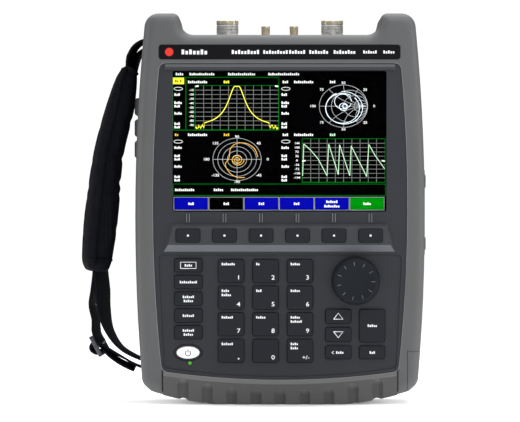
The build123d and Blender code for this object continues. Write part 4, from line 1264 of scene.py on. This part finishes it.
@dataclass
class HandStrap:
    """Padded sleeve, webbing and buckle on the left side."""

    width: float = 44.0 * MM
    middle: tuple[Point, ...] = ((-105.4, 236.6), (-108.7, 226.0), (-113.3, 207.7), (-121.3, 176.0),
                                 (-125.1, 145.0), (-128.0, 118.0), (-130.2, 92.0))
    thick: tuple[float, ...] = (11.0, 15.5, 17.0, 17.5, 19.2, 20.3, 18.8)
    twist: tuple[float, ...] = (3.0, 5.0, 9.0, 11.0, 12.0, 13.0, 13.0)
    voxel: float = 3.2 * MM
    swell: float = 1.6 * MM
    steps: int = 6
    creases: tuple[tuple[float, float, float], ...] = (
        (170.0, 0.9, 2.4), (153.0, 1.2, 2.6), (145.0, 0.8, 2.0), (196.0, 0.7, 2.6), (120.0, 0.5, 3.0))

    def __post_init__(self) -> None:
        """Take the strap's middle plane from its CAD solid."""
        self.y = box_centre("strap_pad").y

    def frames(self) -> list[tuple[Vector, Vector, Vector, float]]:
        """Follow the sleeve from its top to its foot.

        Returns:
            Centre, outward direction, sideways direction and half thickness at each station.
        """
        line = smooth_path(strap_points(self.middle, self.y), self.steps)
        result = []
        for index, centre in enumerate(line):
            ahead = (line[min(index + 1, len(line) - 1)] - line[max(index - 1, 0)]).normalized()
            thick = along(self.thick, index / self.steps)
            turn = math.radians(along(self.twist, index / self.steps))
            outward = ACROSS.cross(ahead)
            if outward.x > 0:
                outward.negate()
            side = ACROSS * math.cos(turn) + outward * math.sin(turn)
            face = outward * math.cos(turn) - ACROSS * math.sin(turn)
            result.append((centre, face, side, thick * MM / 2))
        return result

    def build(self) -> None:
        """Make the sleeve with its trims, the webbing and the buckle."""
        sleeve = self._sleeve()
        install(sleeve, HOUSING, "strap_fabric", "strap_pad")
        self._trims()
        self._webbing()
        self._buckle()

    def _sleeve(self) -> bpy.types.Object:
        """Loft the pad, inflate it as cloth and press in its channels and creases.

        Returns:
            The finished sleeve.
        """
        bm = bmesh.new()
        rings = []
        stations = self.frames()
        for index, (centre, face, side, half) in enumerate(stations):
            closing = min(index, len(stations) - 1 - index)
            shrink = (0.8, 0.95, 1.0)[min(closing, 2)]
            ring = bmesh.ops.create_circle(bm, segments=32, radius=1.0)["verts"]
            for vert in ring:
                flat_x, flat_y = rounded_square(math.atan2(vert.co.y, vert.co.x))
                reach = (self.width / 2 - self.swell) * flat_x * (0.94 + 0.06 * shrink)
                vert.co = centre + side * reach + face * (half - 0.4 * MM) * flat_y * shrink
            rings.append([edge for edge in {e for v in ring for e in v.link_edges}
                          if edge.verts[0] in ring and edge.verts[1] in ring])
        for lower, upper in zip(rings, rings[1:]):
            bmesh.ops.bridge_loops(bm, edges=lower + upper)
        for ends in (rings[0], rings[-1]):
            bmesh.ops.contextual_create(bm, geom=ends)
        bmesh.ops.recalc_face_normals(bm, faces=bm.faces)
        piece = to_object("strap_sleeve", bm, [CLOTH], 80.0)
        self._inflate(piece)
        self._press(piece)
        return piece

    def _inflate(self, piece: bpy.types.Object) -> None:
        """Remesh the sleeve, blow it up a little as cloth and keep the result.

        Args:
            piece: the sleeve, changed in place.
        """
        remesh = piece.modifiers.new("remesh", "REMESH")
        remesh.mode = "VOXEL"
        remesh.voxel_size = self.voxel
        keep_modified(piece)
        start = [vert.co.copy() for vert in piece.data.vertices]
        last_frame = 20
        cloth = piece.modifiers.new("cloth", "CLOTH")
        cloth.settings.use_pressure = True
        cloth.settings.uniform_pressure_force = 4.0
        cloth.settings.quality = 5
        cloth.settings.mass = 0.2
        cloth.settings.effector_weights.gravity = 0.0
        cloth.point_cache.frame_start, cloth.point_cache.frame_end = 1, last_frame
        for number in range(1, last_frame + 1):
            bpy.context.scene.frame_set(number)
        keep_modified(piece)
        bpy.context.scene.frame_set(1)
        for vert, home in zip(piece.data.vertices, start):
            move = vert.co - home
            if move.length > self.swell:
                vert.co = home + move.normalized() * self.swell
        fine = piece.modifiers.new("fine", "SUBSURF")
        fine.levels = fine.render_levels = 1
        keep_modified(piece)
        piece.data.shade_smooth()

    def _press(self, piece: bpy.types.Object) -> None:
        """Press the sewn channels and the creases of the bend into the sleeve.

        Args:
            piece: the sleeve, changed in place.
        """
        stations = self.frames()
        seam, seam_depth, seam_wide = self.width / 2 - 6.0 * MM, 0.9, 1.1 * MM
        inner_share, slope, core = 0.35, 0.15, 2 * MM
        for vert in piece.data.vertices:
            centre, face, side, _ = min(stations, key=lambda f: (f[0] - vert.co).length_squared)
            away = (vert.co - centre).dot(side)
            out = (vert.co - centre).dot(face)
            slant = vert.co.z / MM + slope * away / MM
            depth = 0.0
            for z, deep, wide in self.creases:
                depth += deep * math.exp(-((slant - z) / wide) ** 2) * (1.0 if out < 0 else inner_share)
            depth += seam_depth * math.exp(-((abs(away) - seam) / seam_wide) ** 2)
            vert.co -= face * math.copysign(depth * MM, out) * min(1.0, abs(out) / core)

    def _tube(self, name: str, line: list[Vector], radius: float, closed: bool) -> None:
        """Sew a round trim of binding tape onto the sleeve.

        Args:
            name: the piece's name.
            line: the trim's middle line.
            radius: its radius.
            closed: whether it goes all the way round.
        """
        mesh = curve_mesh(line_curve([line], radius, 3, closed))
        piece = bpy.data.objects.new(name, mesh)
        bpy.context.scene.collection.objects.link(piece)
        mesh.name = name
        mesh.materials.clear()
        mesh.materials.append(TRIM.material())
        mesh.shade_smooth()
        install(piece, HOUSING, "strap_fabric")

    def _trims(self) -> None:
        """Piping along both long edges and a bound hem at each end."""
        stations = self.frames()
        for label, sign in (("front", -1), ("rear", 1)):
            line = [centre + side * sign * (self.width / 2 - 0.8 * MM) + face * half * 0.55
                    for centre, face, side, half in stations[1:-1]]
            self._tube(f"sleeve_piping_{label}", line, 1.15 * MM, False)
        count = 40
        ring = [rounded_square(math.tau * step / count) for step in range(count)]
        for label, index in (("top", 2), ("bottom", -3)):
            centre, face, side, half = stations[index]
            line = [centre + side * (self.width / 2 - 1.4 * MM) * flat_x + face * half * 0.88 * flat_y
                    for flat_x, flat_y in ring]
            self._tube(f"sleeve_hem_{label}", line, 1.0 * MM, True)

    def _webbing(self) -> None:
        """The upper loop, the lower band with its return, and the tail past the buckle."""
        upper = ((-103.6, 231.0), (-102.4, 238.0), (-99.5, 245.2), (-94.5, 248.8), (-88.5, 249.1),
                 (-85.4, 252.2), (-88.5, 255.3), (-95.5, 255.0), (-102.0, 250.8), (-105.6, 243.5),
                 (-106.2, 236.5), (-105.6, 231.0))
        lower = ((-127.4, 101.0), (-126.9, 92.0), (-125.6, 78.0), (-124.6, 64.0), (-120.8, 50.0),
                 (-112.6, 38.0), (-101.0, 31.0), (-94.0, 29.3), (-88.5, 29.1), (-85.4, 26.0),
                 (-88.5, 22.9), (-95.0, 23.3), (-103.0, 26.0), (-111.0, 30.6), (-118.5, 34.6),
                 (-125.0, 38.2), (-130.6, 40.4), (-132.6, 37.4), (-129.6, 34.6), (-124.8, 35.6))
        back = ((-129.2, 99.0), (-129.6, 90.0), (-131.4, 78.0), (-133.0, 68.0), (-130.6, 58.0),
                (-130.2, 50.0), (-128.6, 44.6), (-125.4, 41.6))
        tail = ((-124.6, 36.8), (-120.0, 32.4), (-113.0, 27.6), (-106.0, 24.2), (-102.4, 23.0))
        lower_twist = (18, 19, 20, 17, 9, 3, 1, 0, 0, 0, 0, 1, 2, 4, 6, 8, 8, 6, 4, 4)
        for name, path, twist, replaced in (
                ("upper", upper, (10, 12, 11, 9, 6, 4, 2, 2, 5, 9, 9, 7), ()),
                ("return", back, (10, 10, 8, 6, 8, 10, 8, 6), ()), ("tail", tail, (2, 6), ()),
                ("lower", lower, lower_twist, ("strap_webbing",))):
            ribbon = Ribbon(f"webbing_{name}", strap_points(path, self.y), twist=twist)
            install(ribbon.make(WEBBING), HOUSING, "webbing", *replaced)

    def _buckle(self) -> None:
        """The three-bar buckle, with rounded bars."""
        bm = bmesh.new()
        spacing, half_bar, half_thick, half_wide, half_deep = 6.6, 1.3, 1.5, 16.5, 1.4
        for x in (-spacing, 0.0, spacing):
            add_box(bm, ((x - half_bar) * MM, -half_wide * MM, -half_thick * MM),
                    ((x + half_bar) * MM, half_wide * MM, half_thick * MM))
        end = spacing + half_bar
        for y in (-15.0, 15.0):
            add_box(bm, (-end * MM, (y - half_thick) * MM, -half_deep * MM),
                    (end * MM, (y + half_thick) * MM, half_deep * MM))
        soften(bm, bm.edges[:], 0.7 * MM, 3)
        bm.transform(Matrix.Translation(box_centre("strap_buckle"))
                     @ Matrix.Rotation(math.radians(62), 4, "Y")
                     @ Matrix.Rotation(math.radians(9), 4, "X"))
        install(to_object("webbing_buckle", bm, [ACETAL]), HOUSING, "buckle_plastic", "strap_buckle")


# ---- the housing

@dataclass
class Housing:
    """Finishes of the carried-over CAD pieces and the marks on the label strip."""

    finishes: dict[str, Finish] = field(default_factory=lambda: {
        "front_shell": SHELL, "rear_shell": SHELL, "battery_door": SHELL, "io_door": BUMPER,
        "bottom_bumper": BUMPER, "grip_pads": SHELL, "front_panel": PANEL, "keypad_panel": PANEL,
        "connector_panel": PANEL, "softkey_ridge": RIDGE, "label_strip": DARK_GLOSS,
        "power_button": WHITE, "status_lamp": LAMP, "display_window": GLASS,
        "display_module": BLACK_METAL, "key_board": BOARD, "main_board": BOARD,
        "chassis": ALUMINIUM, "radio_module": TINNED, "rotary_encoder": TINNED,
        "battery_pack": CELL, "bail_stand": ROD, "shell_screws": ROD, "strap_bars": ROD,
        "io_socket_block": SOCKETS})

    def build(self) -> None:
        """Dress every CAD node that stays visible."""
        for name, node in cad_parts.items():
            finish = self.finishes.get(name, KEY)
            node.data.materials.clear()
            node.data.materials.append(finish.material())
            log.info("%s dressed as %s", name, finish.name)
        low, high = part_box("label_strip")
        marks = Drawing(low.y, 0.04 * MM)
        z = (low.z + high.z) / 2
        for x, letters, size in ((low.x + 15.4 * MM, 7, 3.4), (-34 * MM, 9, 2.8), (-12 * MM, 9, 2.5),
                                 (6 * MM, 6, 2.5), (20 * MM, 7, 2.5), (37 * MM, 8, 2.5),
                                 (high.x - 26 * MM, 6, 2.1), (high.x - 12 * MM, 5, 2.1)):
            marks.word(x, z, letters, size * MM, 0.0)
        marks.finish("label_marks", INK, HOUSING, "gloss_black")
        dot = bmesh.new()
        revolve(dot, [(0, 0), (2.9 * MM, 0), (2.9 * MM, 0.05 * MM), (0, 0.05 * MM)], 48)
        dot.transform(Matrix.Translation((low.x + 7.2 * MM, low.y, z)) @ FACE_FRONT)
        install(to_object("label_dot", dot, [MARK_RED]), HOUSING, "gloss_black")


@dataclass
class PanelTrim:
    """Painted light round the front panel: highlights on its rim, on its six ribs and on the bevel
    under its top edge, and painted shade in the seams at the bumper.
    """

    top: Point = (84.3, 237.7)
    middle: Point = (88.6, 165.0)
    low: Point = (82.6, 22.6)
    sag: float = 16.6
    corner: float = 5.0
    rib_z: tuple[float, float] = (126.6, 132.8)
    rib_x: float = 0.95
    rib_line: float = 0.35
    brow_size: tuple[float, float, float] = (235.7, 160.0, 2.0)
    brow_low_size: tuple[float, float, float] = (233.7, 161.0, 1.8)
    seam_x: float = 81.9

    def outline(self) -> list[Point]:
        """Draw the panel's outline with rounded corners.

        Returns:
            Its points in millimetres.
        """
        right = self._arc(self.top, self.middle, self.low, 24)
        bottom = self._arc(self.low, (0.0, self.sag), (-self.low[0], self.low[1]), 24)
        left = [(-x, z) for x, z in reversed(right)]
        sides = [[(-self.top[0], self.top[1]), self.top], right, bottom, left]
        line = []
        for side, following in zip(sides, sides[1:] + sides[:1]):
            line += [point for point in side
                     if min(math.dist(point, side[0]), math.dist(point, side[-1])) > self.corner]
            tip = Vector(side[-1])
            before = tip + (Vector(side[-2]) - tip).normalized() * self.corner
            after = tip + (Vector(following[1]) - tip).normalized() * self.corner
            for step in range(7):
                t = step / 6
                line.append(tuple(before * (1 - t) ** 2 + 2 * tip * t * (1 - t) + after * t ** 2))
        return line

    @staticmethod
    def _arc(first: Point, second: Point, third: Point, count: int) -> list[Point]:
        """Points on the circle through three points.

        Args:
            first: where the arc starts.
            second: a point on it.
            third: where it ends.
            count: how many steps it has.

        Returns:
            The arc's points.
        """
        (ax, az), (bx, bz), (cx, cz) = first, second, third
        d = 2 * (ax * (bz - cz) + bx * (cz - az) + cx * (az - bz))
        a2, b2, c2 = ax * ax + az * az, bx * bx + bz * bz, cx * cx + cz * cz
        x = (a2 * (bz - cz) + b2 * (cz - az) + c2 * (az - bz)) / d
        z = (a2 * (cx - bx) + b2 * (ax - cx) + c2 * (bx - ax)) / d
        start = math.degrees(math.atan2(az - z, ax - x))
        end = math.degrees(math.atan2(cz - z, cx - x))
        turn = (end - start + 180) % 360 - 180
        return arc_points(x, z, math.dist((x, z), first), start, start + turn, count)

    def build(self) -> None:
        """Draw the rim highlight, the rib highlights, the two highlight bands of the top bevel and the
        shade in the seams.
        """
        shell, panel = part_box("front_shell")[0].y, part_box("front_panel")[0].y
        # painted highlight: a light line round the panel's rim and light lines on both sides of each
        # rib stand for light caught on their edges
        rim = Drawing(shell + 0.5 * MM, 0.5 * MM)
        rim.lines([[(x * MM, z * MM) for x, z in self.outline()]], 0.7 * MM, closed=True)
        rib_highlights = Drawing(panel, 0.1 * MM)
        low, high = self.rib_z
        for index in range(6):
            x = box_centre(f"soft_key_{index + 1}").x
            for side in (-self.rib_x, self.rib_x):
                rib_highlights.bar(x + side * MM, (low + high) / 2 * MM, self.rib_line * MM, (high - low) * MM)
        # painted highlight: two lighter bands under the panel's top edge stand for light on its top
        # bevel
        bevel_band, below = Drawing(panel, 0.12 * MM), Drawing(panel, 0.08 * MM)
        for drawing, sizes in ((bevel_band, self.brow_size), (below, self.brow_low_size)):
            drawing.bar(0, *(size * MM for size in sizes))
        # painted shade: dark blocks where the bumper meets the shell stand for the shade in the seams
        seam_shade = Drawing(shell + 2.0 * MM, 2.7 * MM)
        for x in (-self.seam_x, self.seam_x):
            seam_shade.bar(x * MM, 16.2 * MM, 0.7 * MM, 15.0 * MM)
        for drawing, name, finish in ((rim, "panel_rim_highlight", PAINTED_RIM_HIGHLIGHT), (rib_highlights, "rib_edge_highlights", PAINTED_RIM_HIGHLIGHT),
                                      (bevel_band, "panel_bevel_highlight", PAINTED_BEVEL_HIGHLIGHT),
                                      (below, "panel_bevel_highlight_low", RIDGE),
                                      (seam_shade, "bumper_seam_shade", PAINTED_GAP_SHADE)):
            drawing.finish(name, finish, HOUSING, "panel_plastic")


# ---- the stage

@dataclass
class Stage:
    """Pale floor, soft lights and the camera."""

    view_width: float = 0.362
    distance: float = 2.3
    aim_x: float = -0.0140
    aim_z: float = 0.1345
    floor_r: float = 1.6
    floor_drop: float = 0.2 * MM
    lights: tuple[tuple[str, tuple, tuple, Point, float], ...] = (
        ("overhead_soft", (0.0, 0.42, 1.6), (0, 0, 0), (1.8, 1.8), 27.0),
        ("front_soft", (0.6, -1.9, 1.0), (0, 0, 0.14), (0.9, 0.9), 5.5),
        ("top_near", (0.16, -0.32, 0.62), (0.03, 0, 0.26), (0.45, 0.2), 1.0),
        ("strip_left", (-1.25, -0.25, 0.3), (0, 0, 0.14), (0.25, 1.0), 3.0),
        ("strip_right", (1.25, -0.3, 0.3), (0, 0, 0.14), (0.25, 1.0), 4.2))

    def build(self) -> None:
        """Set up everything that isn't the object."""
        scene = bpy.context.scene
        scene.view_settings.view_transform = "Standard"
        self._camera(scene)
        self._world(scene)
        self._floor()
        for light in self.lights:
            self._light(*light)

    def _camera(self, scene: bpy.types.Scene) -> None:
        """A level camera with a long lens, straight at the front.

        Args:
            scene: the scene it takes.
        """
        data = bpy.data.cameras.new("front_camera")
        camera = bpy.data.objects.new("front_camera", data)
        scene.collection.objects.link(camera)
        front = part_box("front_shell")[0].y
        camera.location = (self.aim_x, front - self.distance, self.aim_z)
        camera.rotation_euler = (math.radians(90), 0, 0)
        data.lens = data.sensor_width * self.distance / self.view_width
        data.clip_end = 50.0
        scene.camera = camera

    def _world(self, scene: bpy.types.Scene) -> None:
        """Even white surroundings, brighter to the eye than as a light.

        Args:
            scene: the scene they light.
        """
        seen_extra, lit = 0.8, 0.25
        scene.world = bpy.data.worlds.new("studio")
        scene.world.use_nodes = True
        wires = Wiring(scene.world.node_tree)
        background = wires.tree.nodes["Background"].inputs
        background["Color"].default_value = (1, 1, 1, 1)
        seen = wires.node("ShaderNodeLightPath").outputs["Is Camera Ray"]
        wires.link(wires.add(wires.times(seen, seen_extra), lit), background["Strength"])

    def _floor(self) -> None:
        """A round pale floor that the object stands on."""
        bm = bmesh.new()
        bmesh.ops.create_circle(bm, cap_ends=True, segments=96, radius=self.floor_r)
        floor = to_object("floor", bm, [Finish("floor_white", (0.92, 0.92, 0.92), 0.8,
                                               group="floor", bump=0.0, glow=1.0)])
        floor.data.transform(Matrix.Translation((0, 0, -self.floor_drop)))

    def _light(self, name: str, place: tuple, target: tuple, size: Point, power: float) -> None:
        """A flat soft light aimed at a point.

        Args:
            name: its name.
            place: where it is.
            target: what it looks at.
            size: its width and height.
            power: its power in watts.
        """
        data = bpy.data.lights.new(name, "AREA")
        data.shape = "RECTANGLE"
        data.size, data.size_y = size
        data.energy = power
        lamp = bpy.data.objects.new(name, data)
        bpy.context.scene.collection.objects.link(lamp)
        lamp.location = place
        lamp.rotation_euler = (Vector(target) - Vector(place)).to_track_quat("-Z", "Y").to_euler()


def main() -> None:
    """Build the stage and every sub-assembly."""
    logging.basicConfig(level=logging.INFO, format="%(name)s: %(message)s")
    for part in (Stage(), Housing(), PanelTrim(), Screen(), KeyLegends(), TuningKnob(),
                 ConnectorBay(), HandStrap()):
        part.build()
        log.info("%s done", type(part).__name__)


if __name__ == "__main__":
    main()
